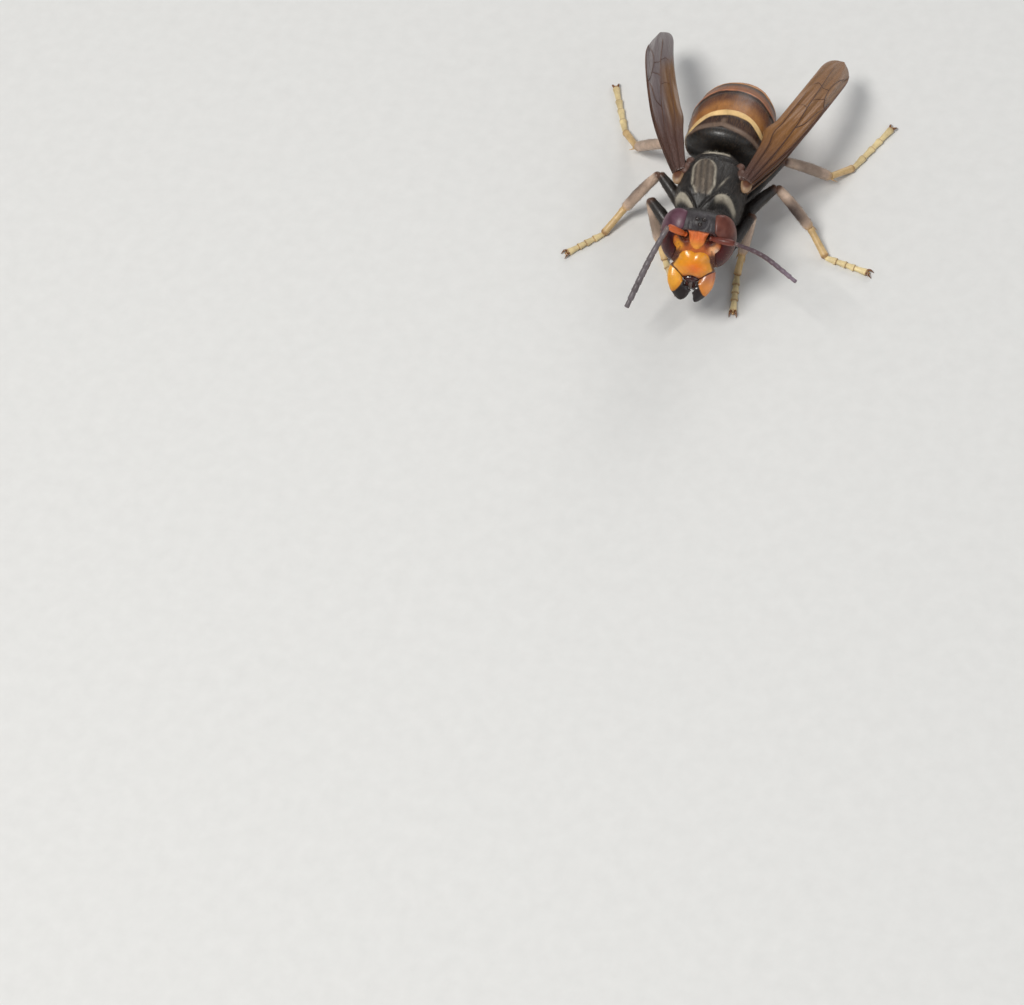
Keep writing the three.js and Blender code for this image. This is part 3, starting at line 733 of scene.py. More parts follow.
EYE = SimpleNamespace(
    front=(1.2, -0.2, 0.1), front_radius=(1.5, 1.52, 2.15), side=(1.75, 0.6, 0.0),
    side_radius=(2.0, 1.25, 2.25), inner=1.26, slant=0.16, notch=(1.26, 1.15, 0.1),
    notch_radius=(0.44, 0.75, 0.6), centre=(1.85, 0.3, 0.0), edge=0.05, reach=3.0, halvings=24)
# plum and brick are the upper colours of the two eyes, lightened by a painted reflection; flank is painted
# light on the left eye.
LENS = palette(plum=(108, 74, 88), brick=(118, 70, 58), wine=(74, 9, 10), flank=(96, 44, 38))


def make_eye(name, material):
    """Kidney-shaped compound eye, with a slanted inner margin and a notch below the antenna."""
    def outside(points):
        parts = [egg(points, EYE.front, EYE.front_radius), egg(points, EYE.side, EYE.side_radius),
                 EYE.inner - points[:, 0] - EYE.slant * points[:, 2],
                 -egg(points, EYE.notch, EYE.notch_radius)]
        return EYE.edge * np.log(sum(np.exp(np.clip(p / EYE.edge, -60, 60)) for p in parts))

    t, a, faces = polar_grid(130, 150)
    fall = np.sin(math.pi * t)
    ways = np.stack([fall * np.cos(a), fall * np.sin(a), np.cos(math.pi * t)], -1)
    centre = on_face(*EYE.centre)
    near, far = np.zeros(len(t)), np.full(len(t), EYE.reach)
    for _ in range(EYE.halvings):
        middle = (near + far) / 2
        out = outside(centre + ways * middle[:, None]) > 0
        near, far = np.where(out, near, middle), np.where(out, middle, far)
    local = centre + ways * near[:, None]
    left, out, up = local[:, 0], -local[:, 1], local[:, 2]
    # The upper part is lighter, a painted reflection of the sky: purple-grey on the right eye, red-brown on
    # the left. The lighter brown lower flank, on the left eye only, is painted light too.
    lower = 1 - step(up, 0.0, 1.1)
    tint = blend(LENS.brick if name == "left" else LENS.plum, LENS.wine, lower)
    tint = blend(tint, LENS.flank, lower * step(left, 1.9, 2.5) * (name == "left"))
    # Darker along the inner margin low down, beside the clypeus: painted shade.
    tint = blend(tint, LENS.wine * 0.5, bump(left, EYE.inner + 0.1, 0.2) * step(out, 0.3, 0.8) * lower)
    local[:, 0] *= SIDES[name]
    make_piece("compound_eye_" + name, from_head(local), faces, tint, material, "eye", "eye_" + name)


# Clypeus, jaws and mouth

CLYPEUS_EDGE = [(0, -0.5), (0.4, -0.38), (0.74, -0.4), (1.02, -0.56), (1.18, -0.86), (1.2, -1.25),
                (1.38, -1.62), (1.58, -1.93), (1.3, -2.2), (1.02, -2.46), (0.66, -2.7), (0.32, -2.6),
                (0, -2.54)]
CLYPEUS_MIDDLE = np.array([0.0, -1.5])
CLYPEUS_OUT, CLYPEUS_CROWN, CLYPEUS_CURVE, CLYPEUS_PITS = 0.95, 0.5, 0.05, 0.012
SHIELD = palette(yellow=(250, 166, 24), orange=(240, 118, 8), flank=(255, 186, 84), mark=(176, 66, 10),
                 rim=(70, 14, 8))


def clypeus_reach(a):
    """How far the edge of the clypeus lies from its middle, in each direction."""
    right = [(-x, y) for x, y in CLYPEUS_EDGE[-2:0:-1]]
    away = smooth_line(CLYPEUS_EDGE + right, 720, closed=True) - CLYPEUS_MIDDLE
    angle = np.mod(np.arctan2(away[:, 1], away[:, 0]), TAU)
    order = np.argsort(angle)
    return np.interp(a, angle[order], np.hypot(*away.T)[order], period=TAU)


def make_clypeus(material):
    t, a, faces = polar_grid(60, 160)
    share = np.sin(math.pi * t) ** 0.85
    left = CLYPEUS_MIDDLE[0] + clypeus_reach(a) * share * np.cos(a)
    up = CLYPEUS_MIDDLE[1] + clypeus_reach(a) * share * np.sin(a)
    inner = 1 - share
    crown = CLYPEUS_CROWN * (1 - share ** 2.6) ** 0.8 * np.sign(np.cos(math.pi * t))
    pits = CLYPEUS_PITS * np.sin(9 * left + 2) * np.sin(8 * up) * inner
    out = CLYPEUS_OUT + crown - CLYPEUS_CURVE * left ** 2 + 0.08 * inner * bump(up, -1.1, 0.6) + pits
    aside, low = np.abs(left), step(-up, 1.5, 2.1)
    tint = blend(SHIELD.yellow, SHIELD.orange, bump(left, 0.15, 0.75) * bump(up, -1.75, 0.62))
    tint = blend(tint, SHIELD.flank, step(aside, 0.95, 1.35) * 0.8)
    tint = blend(tint, SHIELD.mark, bump(aside, 0.5, 0.25) * bump(up, -2.42, 0.12) * 0.7)
    rim = step(share + 0.1 * low, 0.89, 0.965) * (0.8 + 0.2 * low)
    tint = blend(tint, SHIELD.rim, np.clip(rim, 0, 1))
    make_shell("clypeus_shield", from_head(on_face(left, out, up)), faces, tint, material, "face", "clypeus")


JAW_LINE = [(1.22, 0.55, -2.05), (1.04, 1.0, -3.05), (0.47, 1.22, -4.28)]
JAW_WIDTH = [0, 0.15, 0.4, 0.65, 0.85, 0.96, 1], [0.44, 0.52, 0.57, 0.5, 0.34, 0.2, 0.06]
JAW_THICKNESS = [0, 0.3, 0.7, 1], [0.34, 0.31, 0.22, 0.07]
JAW_TEETH, TOOTH, TOOTH_WIDTH = (0.5, 0.66, 0.82), 0.11, 0.04
JAW_LOBE = {"left": (0.08, 0.7), "right": (0.46, 0.84)}   # reach inwards, and where
JAW_BLACK = [2.0, 2.75, 3.2, 3.65, 3.9], [0.3, 0.52, 0.7, 1.0, 1.4]   # low, edge of the black
# The left jaw's colour and the root colour are painted shade on the yellow of the right jaw.
JAW = palette(left=(228, 146, 74), right=(252, 176, 48), edge=(236, 140, 30), root=(196, 120, 84),
              black=(26, 8, 8))


def make_mandible(name, material):
    """Broad jaw, yellow outside, with black teeth along its inner edge and a black tip."""
    shares = np.linspace(0, 1, 70)
    middle = even_line([on_face(*p) for p in JAW_LINE], shares)
    width, thick = np.interp(shares, *JAW_WIDTH), np.interp(shares, *JAW_THICKNESS)
    lobe, lobe_at = JAW_LOBE[name]
    teeth = sum(TOOTH * bump(shares, at, TOOTH_WIDTH) for at in JAW_TEETH) + lobe * bump(shares, lobe_at, 0.2)
    along = unit(np.gradient(middle, axis=0))
    outward = unit(np.cross(along, np.broadcast_to([0.0, -1.0, 0.0], along.shape)))
    outward *= np.sign(outward[:, :1])
    face = unit(np.cross(outward, along))
    a = np.arange(44) / 44 * TAU
    c, s = power(np.cos(a), 0.8), power(np.sin(a), 0.9)
    reach = width[:, None] * c + (teeth - 0.05)[:, None] * np.where(c < -0.2, c, 0)
    rings = (middle[:, None] + reach[..., None] * outward[:, None]
             + thick[:, None, None] * s[None, :, None] * face[:, None])
    points = np.concatenate([middle[:1], rings.reshape(-1, 3), middle[-1:]])
    low = -points[:, 2]
    from_black = points[:, 0] - np.interp(low, *JAW_BLACK)
    # The left jaw is the same yellow as the right in life; its duller colour, darker near the root under the
    # clypeus, is painted shade.
    tint = blend(getattr(JAW, name), JAW.edge, bump(from_black, 0.12, 0.14) * 0.6)
    if name == "left":
        tint = blend(tint, JAW.root, 1 - step(low, 2.3, 2.9))
    tint = blend(tint, JAW.black, 1 - step(from_black, -0.05, 0.05))
    points[:, 0] *= SIDES[name]
    make_shell("jaw_" + name, from_head(points), ring_faces(len(shares), len(a)), tint, material, "face",
               "mandible_" + name)


MOUTH = palette(wine=(64, 14, 14), grey=(112, 98, 94), rust=(96, 44, 34), palp=(150, 92, 48))
# The halved wine lobe deep between the jaws and the dimmed one of the two rust lobes are painted shade; the
# grey of the middle lobe is a painted glossy sheen.
LOBES = (   # place, half sizes, rows, columns and colour
    ((0, 0.78, -2.74), (0.6, 0.28, 0.3), 20, 28, MOUTH.wine),
    ((0, 0.45, -3.0), (0.56, 0.36, 0.72), 24, 30, MOUTH.wine * 0.5),
    ((0.04, 0.78, -3.2), (0.17, 0.16, 0.42), 16, 20, MOUTH.grey),
    ((0.3, 0.7, -3.2), (0.14, 0.2, 0.46), 16, 20, MOUTH.rust * 0.4),
    ((-0.26, 0.7, -3.2), (0.15, 0.2, 0.46), 16, 20, MOUTH.rust))
PALPS = ((0.3, 0.16, 0.75), (0.12, 0.06, 0.6))   # start, spread, length


def make_mouth(material):
    """Upper lip, tongue and lobes between the jaws, and two pairs of jointed palps."""
    shapes = [(ball(on_face(*place), radius, rows, cols), colour)
              for place, radius, rows, cols, colour in LOBES]
    shares = np.linspace(0, 1, 26)
    beads = list(zip(shares, 0.045 - 0.014 * np.abs(np.cos(shares * 4 * math.pi)) * (shares < 0.97)))
    for side in SIDES.values():
        for start, spread, length in PALPS:
            line = [on_face(side * start, 0.2, -2.95), on_face(side * (start + spread), 0.12, -3.3),
                    on_face(side * (start + spread * 0.6), 0.2, -2.95 - length)]
            shapes.append((tube(line, beads, cols=8, shares=shares)[:2], MOUTH.palp))
    points, faces, counts = join_shapes([s[0] for s in shapes])
    tint = np.concatenate([np.tile(c, (n, 1)) for (_, c), n in zip(shapes, counts)])
    make_shell("mouth_lobes", from_head(points), faces, tint, material, "mouthparts", "mouthparts")


# Antennae

ELBOW = {"left": (2.6, 1.5, 0.6), "right": (-2.14, 1.6, 1.09)}
ANTENNA_TIP = {"left": (7.51, -8.15, 8.2), "right": (-4.1, -10.1, 5.1)}
WHIP_SIZE = {"left": 0.76, "right": 1.0}
RING_COUNT, FIRST_RING = 10, 0.055
SCAPE = [(0, 0.14), (0.05, 0.21), (0.1, 0.16), (0.3, 0.22), (0.8, 0.25), (0.95, 0.22), (1, 0.14)]
WHIP = [0, 0.05, 0.15, 0.5, 0.85, 1], [0.18, 0.19, 0.2, 0.235, 0.22, 0.16]
RING = ((0.03, 0.84), (0.1, 0.95), (0.5, 1.0), (0.86, 1.03), (0.97, 0.88))   # share of a ring, of its size
FEELER = palette(below=(126, 98, 90), right=(112, 104, 108), left=(92, 72, 80), left_tip=(134, 116, 132),
                 first=(150, 128, 120), scape_right=(224, 108, 44), scape_left=(136, 64, 48),
                 scape_above=(74, 24, 18))


def make_antenna(name, material):
    """Scape, small second joint, and a whip of ten rings."""
    start = on_face(SOCKET[0] * SIDES[name], 0.92, SOCKET[1])
    elbow, tip = on_face(*ELBOW[name]), to_head(np.array(ANTENNA_TIP[name]))
    scape_line = [from_head(p) for p in (start, (start + elbow) / 2 + np.array([0, -0.22, 0.06]), elbow)]
    whip_line = [from_head(p) for p in (elbow, elbow * 0.55 + tip * 0.45 + np.array([0, 0, 0.35]), tip)]
    scape = tube(scape_line, SCAPE, rows=44, cols=24)
    edges = np.concatenate([[0], np.linspace(FIRST_RING, 1, RING_COUNT + 1)])
    shares, sizes = [0.0], [0.12]
    for low, high in zip(edges[:-1], edges[1:]):
        full = np.interp((low + high) / 2, *WHIP)
        for s, f in RING:
            shares.append(low + s * (high - low))
            sizes.append(full * f * WHIP_SIZE[name])
    shares, sizes = shares + [1.0], sizes + [0.03]
    whip = tube(whip_line, list(zip(shares, sizes)), cols=20, shares=shares)
    points, faces, counts = join_shapes([scape[:2], whip[:2]])
    share, angle = (np.concatenate([scape[k], whip[k]]) for k in (2, 3))
    above = np.sin(angle)
    # The two antennae are alike in life; the right one's bright orange scape and lighter whip are painted
    # highlight, the left one's dark scape and darker base of the whip painted shade.
    if name == "left":
        slate, rust, dark = blend(FEELER.left, FEELER.left_tip, step(share, 0.4, 1.0)), FEELER.scape_left, 0.5
    else:
        slate, rust, dark = FEELER.right, FEELER.scape_right, 0.2
    tint = blend(FEELER.below, slate, step(above, -0.6, 0.6))
    tint = blend(tint, FEELER.first, (1 - step(share, 0.02, 0.1)) * 0.5)
    scape_tint = blend(rust, FEELER.scape_above, step(above, 0.2, 0.9) * dark)
    tint = blend(tint, scape_tint, np.repeat([1.0, 0.0], counts))
    make_shell("antenna_" + name, points, faces, tint, material, "antenna", f"antenna_{name}_scape",
               f"antenna_{name}_flagellum")


# Thorax

THORAX = SimpleNamespace(
    middle=np.array([0, 0.05, 6.0]), half_length=3.5, half_width=2.5, top=2.35, bottom=2.7,
    pitch=math.radians(5), squareness=2.35, inset=0.06, rear=(3.2, 0.7), front=(2.0, 0.8), plan=(2.6, 0.58))
SHOULDER = SimpleNamespace(along=-1.4, reach=0.42, across=0.6, spread=0.34, rise=0.2)
COLLAR = SimpleNamespace(crest=0.2, ditch=0.14, hollow=0.2)
SIDE_SEAM, WING_HOLLOW, FINE_SEAM, BACK_RISE = 0.08, 0.1, 0.05, 0.1
BAR_RISE, BAR_ALONG = 0.13, 2.6
PALE_BAR_ALONG, PALE_BAR_WIDTH = 2.56, 0.23
CROSS_GROOVES = ((0.17, 1.6, 0.09), (0.2, 2.36, 0.07), (0.2, 2.9, 0.08))   # depth, along, width
# The pale and silky colours are painted highlight and painted sheen on the black back and its hair.
BACK = palette(hair=(74, 62, 52), pale=(206, 198, 180), silk=(146, 132, 116), scale=(104, 62, 40),
               scale_rim=(186, 152, 118), hinge=(104, 72, 60))


def collar_line(left):
    """How far along the thorax the crest of its collar lies: rearmost above each shoulder."""
    return -1.66 - 0.03 * left - 0.34 * ((np.abs(left + 0.5) - 1.78) / 0.85) ** 2


def thorax_place(t, a):
    """Points of the thorax: a squarish barrel with collar, shoulders, seams and a stepped rear."""
    way = -np.cos(math.pi * t)
    along = THORAX.half_length * way
    bend = np.where((way > 0)[:, None], THORAX.rear, THORAX.front)
    top = (1 - np.abs(way) ** bend[:, 0]) ** bend[:, 1]
    rest = (1 - np.abs(way) ** THORAX.plan[0]) ** THORAX.plan[1]
    up = np.sin(a)
    above = step(up, 0.0, 0.25)
    shoulder = SHOULDER.rise * bump(along, SHOULDER.along, SHOULDER.reach) * bump(
        np.abs(np.cos(a)), SHOULDER.across, SHOULDER.spread)
    side_seam = SIDE_SEAM * bump(along, -0.3 + 0.6 * up, 0.12) * (1 - above) * step(up, -0.95, -0.6)
    wing_hollow = WING_HOLLOW * bump(along, 0.9, 0.9) * bump(up, 0.28, 0.14)
    swell = 1 + (shoulder * above - side_seam - wing_hollow) / THORAX.top
    left = (THORAX.half_width - THORAX.inset) * rest * swell * power(np.cos(a), 2 / THORAX.squareness)
    aside = np.abs(left)
    ahead = along - collar_line(left)
    on_collar = step(aside, 0.1, 0.6) * above
    crest = COLLAR.crest * np.exp(-(ahead / np.where(ahead > 0, 0.16, 0.28)) ** 2) * on_collar
    behind = COLLAR.ditch * bump(ahead, 0.36, 0.12) * above
    before = COLLAR.hollow * bump(ahead, -0.62, 0.22) * (1 - step(aside, 1.7, 2.2)) * above
    middle_line = bump(left, 0, 0.05) * (1 - step(along, -0.1, 0.6)) * step(ahead, 0.25, 0.4)
    side_lines = bump(aside, 0.66, 0.06) * bump(along, 0.6, 0.8)
    rear_line = bump(left, 0, 0.07) * bump(along, 2.0, 0.35)
    back = BACK_RISE * bump(along, 2.02, 0.3) * (1 - step(aside, 1.1, 1.5))
    bar = BAR_RISE * bump(along, BAR_ALONG, 0.14) * (1 - step(aside, 0.95, 1.2))
    grooves = sum(depth * bump(along, at, width) for depth, at, width in CROSS_GROOVES)
    relief = (crest - behind - before + back + bar - grooves
              - FINE_SEAM * (middle_line + side_lines + rear_line))
    height = np.where(up > 0, (THORAX.top - THORAX.inset) * top + relief * above,
                      (THORAX.bottom - THORAX.inset) * rest)
    z = height * swell * power(up, 2 / THORAX.squareness)
    c, s = math.cos(-THORAX.pitch), math.sin(-THORAX.pitch)
    return np.stack([left, along * c - z * s, along * s + z * c], -1) + THORAX.middle


def thorax_marks(t, a, points):
    """Black skin and hair with painted highlights: a pale collar crest, a pale rear bar, a pale slanting line
    on the left, and a silky sheen patch with a pale outline.
    """
    along = -THORAX.half_length * np.cos(math.pi * t)
    left = points[:, 0]
    above = step(np.sin(a), 0.0, 0.4)
    tint, dust = np.tile(BLACK, (len(points), 1)), np.tile(BACK.hair, (len(points), 1))
    # The pale collar crest and rear bar are painted highlights over pale hair.
    ahead = along - collar_line(left)
    crest = np.exp(-(ahead / np.where(ahead > 0, 0.18, 0.28)) ** 4) * step(np.abs(left), 0.5, 0.85)
    bar = np.exp(-((along - PALE_BAR_ALONG) / PALE_BAR_WIDTH) ** 4)
    bar = bar * (1 - step(np.abs(left + 0.15), 0.95, 1.15))
    # A silky patch right of the middle with a pale outline: painted sheen on the fine hair.
    off_middle = left + 0.52 + 0.12 * along
    rounding = np.sqrt(np.maximum(0, 1 - np.maximum(0, (along - 0.3) / 1.15) ** 2))
    reach = 0.8 * rounding - 0.3 * step(-along, 0.9, 1.7)
    inside = (1 - step(np.abs(off_middle), reach - 0.08, reach + 0.02)) * step(along, -1.75, -1.6)
    silk = inside * (along < 1.45) * (0.25 + 0.5 * (0.55 + 0.45 * np.cos(off_middle * 14)))
    outline = bump(np.abs(off_middle), reach, 0.08) * step(along, -1.75, -1.55) * (along < 1.5)
    # On skin and hair alike: painted highlights on collar crest, rear bar and outline, and the painted sheen
    # patch.
    for colour, mask, on_skin, on_hair in ((BACK.pale, crest, 0.85, 1.0), (BACK.pale, bar, 0.85, 1.0),
                                           (BACK.silk, silk, 1.0, 1.0), (BACK.pale, outline, 0.75, 0.8)):
        tint = blend(tint, colour, mask * above * on_skin)
        dust = blend(dust, colour, mask * above * on_hair)
    # A pale slanting line on the left side only: a painted highlight.
    painted_highlight_line = bump(left - 0.97 - 0.45 * (along + 0.6), 0, 0.06) * bump(along, -0.6, 0.5) * above
    return blend(tint, BACK.pale, painted_highlight_line * 0.7), dust


SCALE = SimpleNamespace(place=(2.42, 0.5, 7.12), radius=(0.46, 0.7, 0.37), middle=(2.5, 0.5))
HINGE_LOBES = (((1.98, 1.05, 7.42), (0.4, 0.5, 0.3)), ((1.8, 1.75, 7.3), (0.36, 0.42, 0.3)),
               ((2.35, 1.35, 7.15), (0.3, 0.5, 0.3)))


def make_wing_scale(name, shell):
    """Small plate over the wing's root, and three lobes of its hinge."""
    side = np.array([SIDES[name], 1, 1])
    plate = ball(side * SCALE.place, SCALE.radius, 30, 40)
    outer = np.hypot(*((plate[0][:, :2] * side[:2] - SCALE.middle) / SCALE.radius[:2]).T)
    lobes = [ball(side * place, radius, 14, 18) for place, radius in HINGE_LOBES]
    points, faces, counts = join_shapes([plate] + lobes)
    tint = np.concatenate([blend(BACK.scale, BACK.scale_rim, step(outer, 0.45, 0.9)),
                           np.tile(BACK.hinge, (sum(counts[1:]), 1))])
    make_shell("wing_scale_" + name, points, faces, tint, shell, "thorax")


def make_thorax(shell, hair):
    t, a, faces = polar_grid(210, 240)
    points = thorax_place(t, a)
    tint, dust = thorax_marks(t, a, points)
    skin = make_shell("thorax_skin", points, faces, tint, shell, "thorax", "thorax", dust=dust,
                      lie=lie_of(thorax_place, t, a), furry=((t > 0.06) & (t < 0.93)) * 1.0,
                      unwrap=unwrap_of(t, a))
    grow_coat(skin, "thorax_coat", "thorax", hair, Density=8e7, Length=0.0003, Thickness=0.000009,
              Lift=0.6, Curl=0.35, Seed=5)
    points, faces, _, _ = tube([(0, -2.6, 5.9), (-0.08, -3.4, 6.15), (-0.15, -4.3, 6.4)],
                               [(0, 0.6), (0.5, 0.5), (1, 0.62)], rows=20, cols=28)
    make_shell("neck", points, faces, np.tile(BLACK * 0.7, (len(points), 1)), shell, "thorax",
               dust=np.tile(ASH, (len(points), 1)))
    for name in SIDES:
        make_wing_scale(name, shell)


# Gaster

GASTER = SimpleNamespace(
    start=np.array([0, 3.7, 5.35]), length=9.4, first_slope=math.radians(12),
    last_slope=math.radians(-55), yaw=math.radians(-4.5), half_width=3.12, top=2.88, bottom=2.6,
    shoulder_at=0.95, shoulder=0.92, front_bend=2.2, full_at=2.3, taper_from=3.4, taper_bend=1.8,
    petiole=0.42, tip=0.12, inset=0.03, roundness=0.95)
PLATE_LIP, PLATE_DIP, CREST_RISE, BAND_PEAK = 0.036, 0.01, 0.016, 0.16
RIMS = np.array([0, 2.0, 3.9, 5.15, 6.4, 7.75, 9.4])
RIM_WIDTHS = np.array([0.33, 0.13, 0.16, 0.12, 0.1, 0.0])
PLATE = palette(umber=(60, 36, 28), brown=(108, 62, 36), gold=(178, 118, 58), orange=(226, 134, 30),
                end=(150, 84, 30), third=(156, 92, 46), crest=(136, 114, 98), seam=(36, 18, 10),
                below=(200, 124, 40), hair=(206, 152, 88))
RIM_COLOURS = np.stack([*(colour_of(*rgb) for rgb in (
    (255, 216, 152), (210, 130, 86), (220, 150, 80), (246, 170, 70), (210, 140, 60))), PLATE.gold])


def in_plate(at):
    """Number of the plate at a place along the plates, and the share of it that is passed."""
    i = np.clip(np.searchsorted(RIMS, at, side="right") - 1, 0, len(RIMS) - 2)
    return i, np.clip((at - RIMS[i]) / (RIMS[i + 1] - RIMS[i]), 0, 1)


def gaster_way(at, a):
    """Way along the gaster of a place on its plates: their hind edges run forward down the sides."""
    slant = np.minimum(1.7 * (1 - np.sin(a)), 0.8) - 0.35 * np.cos(a) - 0.25
    return at - slant * (step(at, 0.1, 2.0) - 0.6 * step(at, 2.6, 4.5) - 0.4 * step(at, 7.9, 9.3))


def front_way(at, a):
    """Way behind the black front, whose edge bends forward down the sides."""
    return gaster_way(at, a) + 0.45 * (1 - np.sin(a))


def gaster_place(t, a):
    """Points of the gaster: a curved, tapered barrel with a flat front and six lipped plates."""
    at = t * GASTER.length
    way = gaster_way(at, a)
    turn = (GASTER.last_slope - GASTER.first_slope) / GASTER.length
    slope = GASTER.first_slope + turn * way
    middle_y = (np.sin(slope) - math.sin(GASTER.first_slope)) / turn
    middle_z = (math.cos(GASTER.first_slope) - np.cos(slope)) / turn
    front = np.sqrt(np.maximum(0, 1 - (1 - np.clip(way / GASTER.shoulder_at, 0, 1)) ** GASTER.front_bend))
    rise = front * (GASTER.shoulder + (1 - GASTER.shoulder) * np.clip(way / GASTER.full_at, 0, 1))
    fall = np.maximum(0, (way - GASTER.taper_from) / (GASTER.length - GASTER.taper_from))
    least = np.where(way < GASTER.shoulder_at, GASTER.petiole, GASTER.tip) / GASTER.half_width
    closed = np.clip(way / 0.02, 0, 1) * np.clip((GASTER.length - way) / 0.02, 0, 1)
    swell = np.maximum(rise * (1 - fall ** GASTER.taper_bend), least * closed)
    i, share = in_plate(at)
    lip = PLATE_LIP * (share ** 3 - 0.55) * np.where(i == 5, 0.3, 1.0) - PLATE_DIP * bump(share, 0.84, 0.04)
    crest = CREST_RISE * bump(front_way(at, a), 1.1, 0.1) * step(np.sin(a), 0.0, 0.4)
    swell = swell * (1 + lip + crest)
    left = (GASTER.half_width - GASTER.inset) * swell * power(np.cos(a), GASTER.roundness)
    over = np.where(np.sin(a) > 0, GASTER.top, GASTER.bottom) - GASTER.inset
    over = over * swell * power(np.sin(a), GASTER.roundness)
    y = middle_y - over * np.sin(slope)
    z = middle_z + over * np.cos(slope)
    c, s = math.cos(GASTER.yaw), math.sin(GASTER.yaw)
    return np.stack([left * c - y * s, left * s + y * c, z], -1) + GASTER.start


def gaster_marks(at, a):
    """Colours of skin and hair, from the black front over the banded plates to the orange tip."""
    i, share = in_plate(at)
    to_rim = RIMS[i + 1] - at
    way = front_way(at, a) - BAND_PEAK * np.exp(-np.abs(np.cos(a) + 0.05) / 0.16)
    above = step(np.sin(a), -0.35, 0.1)
    saddle = (1 - step(share + 0.55 * np.abs(np.cos(a)), 0.42, 0.6)) * above
    umber = np.tile(PLATE.umber, (len(at), 1))
    plates = (umber,
              # The golden front of the second plate: partly its golden hair, partly painted sheen.
              blend(PLATE.gold, blend(PLATE.brown, umber, step(share, 0.6, 0.85)), step(share, 0.2, 0.6)),
              blend(PLATE.third, umber, step(share, 0.3, 0.8)),
              blend(PLATE.orange, umber, saddle),
              blend(umber, PLATE.gold, step(share, 0.45, 0.9)),
              np.tile(PLATE.end, (len(at), 1)))
    tint = np.choose(i[:, None], plates)
    tint = blend(tint, BLACK * 0.4, 1 - step(way, 0.9, 1.04))
    spike = bump(np.cos(a), -0.05, 0.05) * bump(way, 1.38, 0.24)
    crest = np.maximum(step(way, 0.96, 1.06) * (1 - step(way, 1.2, 1.38)), spike) * above
    tint = blend(tint, PLATE.crest, crest * 0.8)
    widths = RIM_WIDTHS[i]
    wobble = 0.02 * np.sin(7 * a) + 0.015 * np.sin(13 * a + 1)
    rim = (1 - step(to_rim + wobble, widths * 0.8, np.maximum(widths, 0.01))) * (widths > 0)
    tint = blend(tint, RIM_COLOURS[i], rim)
    before = bump(to_rim, widths + 0.08, 0.08) * (widths > 0) * 0.8
    tint = blend(tint, PLATE.seam, before * (1 - rim))
    below = 1 - step(np.sin(a), -0.5, -0.1)
    tint = blend(tint, blend(PLATE.umber, PLATE.below, step(share, 0.55, 0.95)), below * 0.75)
    return tint, blend(tint, PLATE.hair, 0.12 + 0.3 * step(way, 1.1, 1.7))


def make_gaster(shell, hair):
    spans = [np.linspace(low + 0.035, high - 0.012, 46 if k else 70)
             for k, (low, high) in enumerate(zip(RIMS[:-1], RIMS[1:]))]
    ways = np.concatenate([[0.0], *spans, [GASTER.length]])
    t, a, faces = polar_grid(ways / GASTER.length, 230)
    at = t * GASTER.length
    tint, dust = gaster_marks(at, a)
    velvet = 1 - step(front_way(at, a), 0.95, 1.15)
    furry = np.maximum(0.35 + 0.65 * step(at, 5.5, 8.0), velvet) * (at > 0.3) * (at < 9.2)
    skin = make_shell("gaster_skin", gaster_place(t, a), faces, tint, shell, "gaster",
                      *(f"gaster_{k}" for k in range(1, 7)), dust=dust, lie=lie_of(gaster_place, t, a),
                      furry=furry, unwrap=unwrap_of(t, a))
    grow_coat(skin, "gaster_coat", "gaster", hair, Density=6.0e7, Length=0.00022, Thickness=0.000007,
              Lift=0.35, Curl=0.25, Seed=8)


# Wings

FOREWING = SimpleNamespace(length=16.6, half_width=1.14, root=0.5, drop=0.0, shift=0.0)
HINDWING = SimpleNamespace(length=11.4, half_width=0.82, root=0.28, drop=0.9, shift=0.3)
WING_ROLL, WING_RISE, WING_CAMBER = math.radians(27), 1.45, 0.12
WING_ROOT = {"left": (2.5, 0.5, 7.5), "right": (-2.45, 0.65, 7.5)}
WING_TIP = {"left": (6.9, 15.6, 3.85), "right": (-6.85, 15.6, 4.4)}
WING_BOW = {"left": 0.08, "right": -0.05}
WING_KNOB = {"left": 0.32, "right": 0.12}
KNOB_AT, OPEN_AT, ROUND_FROM, ROUND_LENGTH = 0.27, 0.4, 0.82, 0.1802
MEMBRANE_THICKNESS, FOLD_EDGE, FOLD_UNDER, FOLD_GAP = 0.03, -0.94, 0.45, 0.08
SMOKE = palette(gold=(172, 118, 58), cool=(130, 116, 118), plum=(104, 72, 62), vein=(66, 36, 24),
                vein_tip=(112, 68, 40))


def wing_place(size, name, way, chord, lift):
    """Points of a wing, from way along it, chord across it from -1 to 1, and lift above it."""
    root, tip, side = np.array(WING_ROOT[name]), np.array(WING_TIP[name]), SIDES[name]
    along = unit(tip - root)
    out = unit(np.array([side, 0, 0]) - along * along[0] * side)
    face = np.cross(out, along) * side
    across = out * math.cos(WING_ROLL) - face * math.sin(WING_ROLL)
    over = face * math.cos(WING_ROLL) + out * math.sin(WING_ROLL)
    way, chord, lift = np.broadcast_arrays(way, chord, lift)
    opening = np.sin(np.minimum(way / OPEN_AT, 1) * math.pi / 2)
    width = size.root + (size.half_width - size.root) * opening
    tip_round = np.sqrt(np.maximum(1 - np.maximum(0, (way - ROUND_FROM) / ROUND_LENGTH) ** 2, 0))
    arch = np.sin(math.pi * way * size.length / FOREWING.length)
    knob = WING_KNOB[name] * bump(way, KNOB_AT, 0.05) * np.minimum(chord, 0)
    aside = width * tip_round * chord + knob + WING_BOW[name] * arch + size.shift
    above = WING_RISE * arch - WING_CAMBER * chord ** 2 * width - size.drop + lift
    return (root + (size.length * way)[..., None] * along + aside[..., None] * across
            + above[..., None] * over)


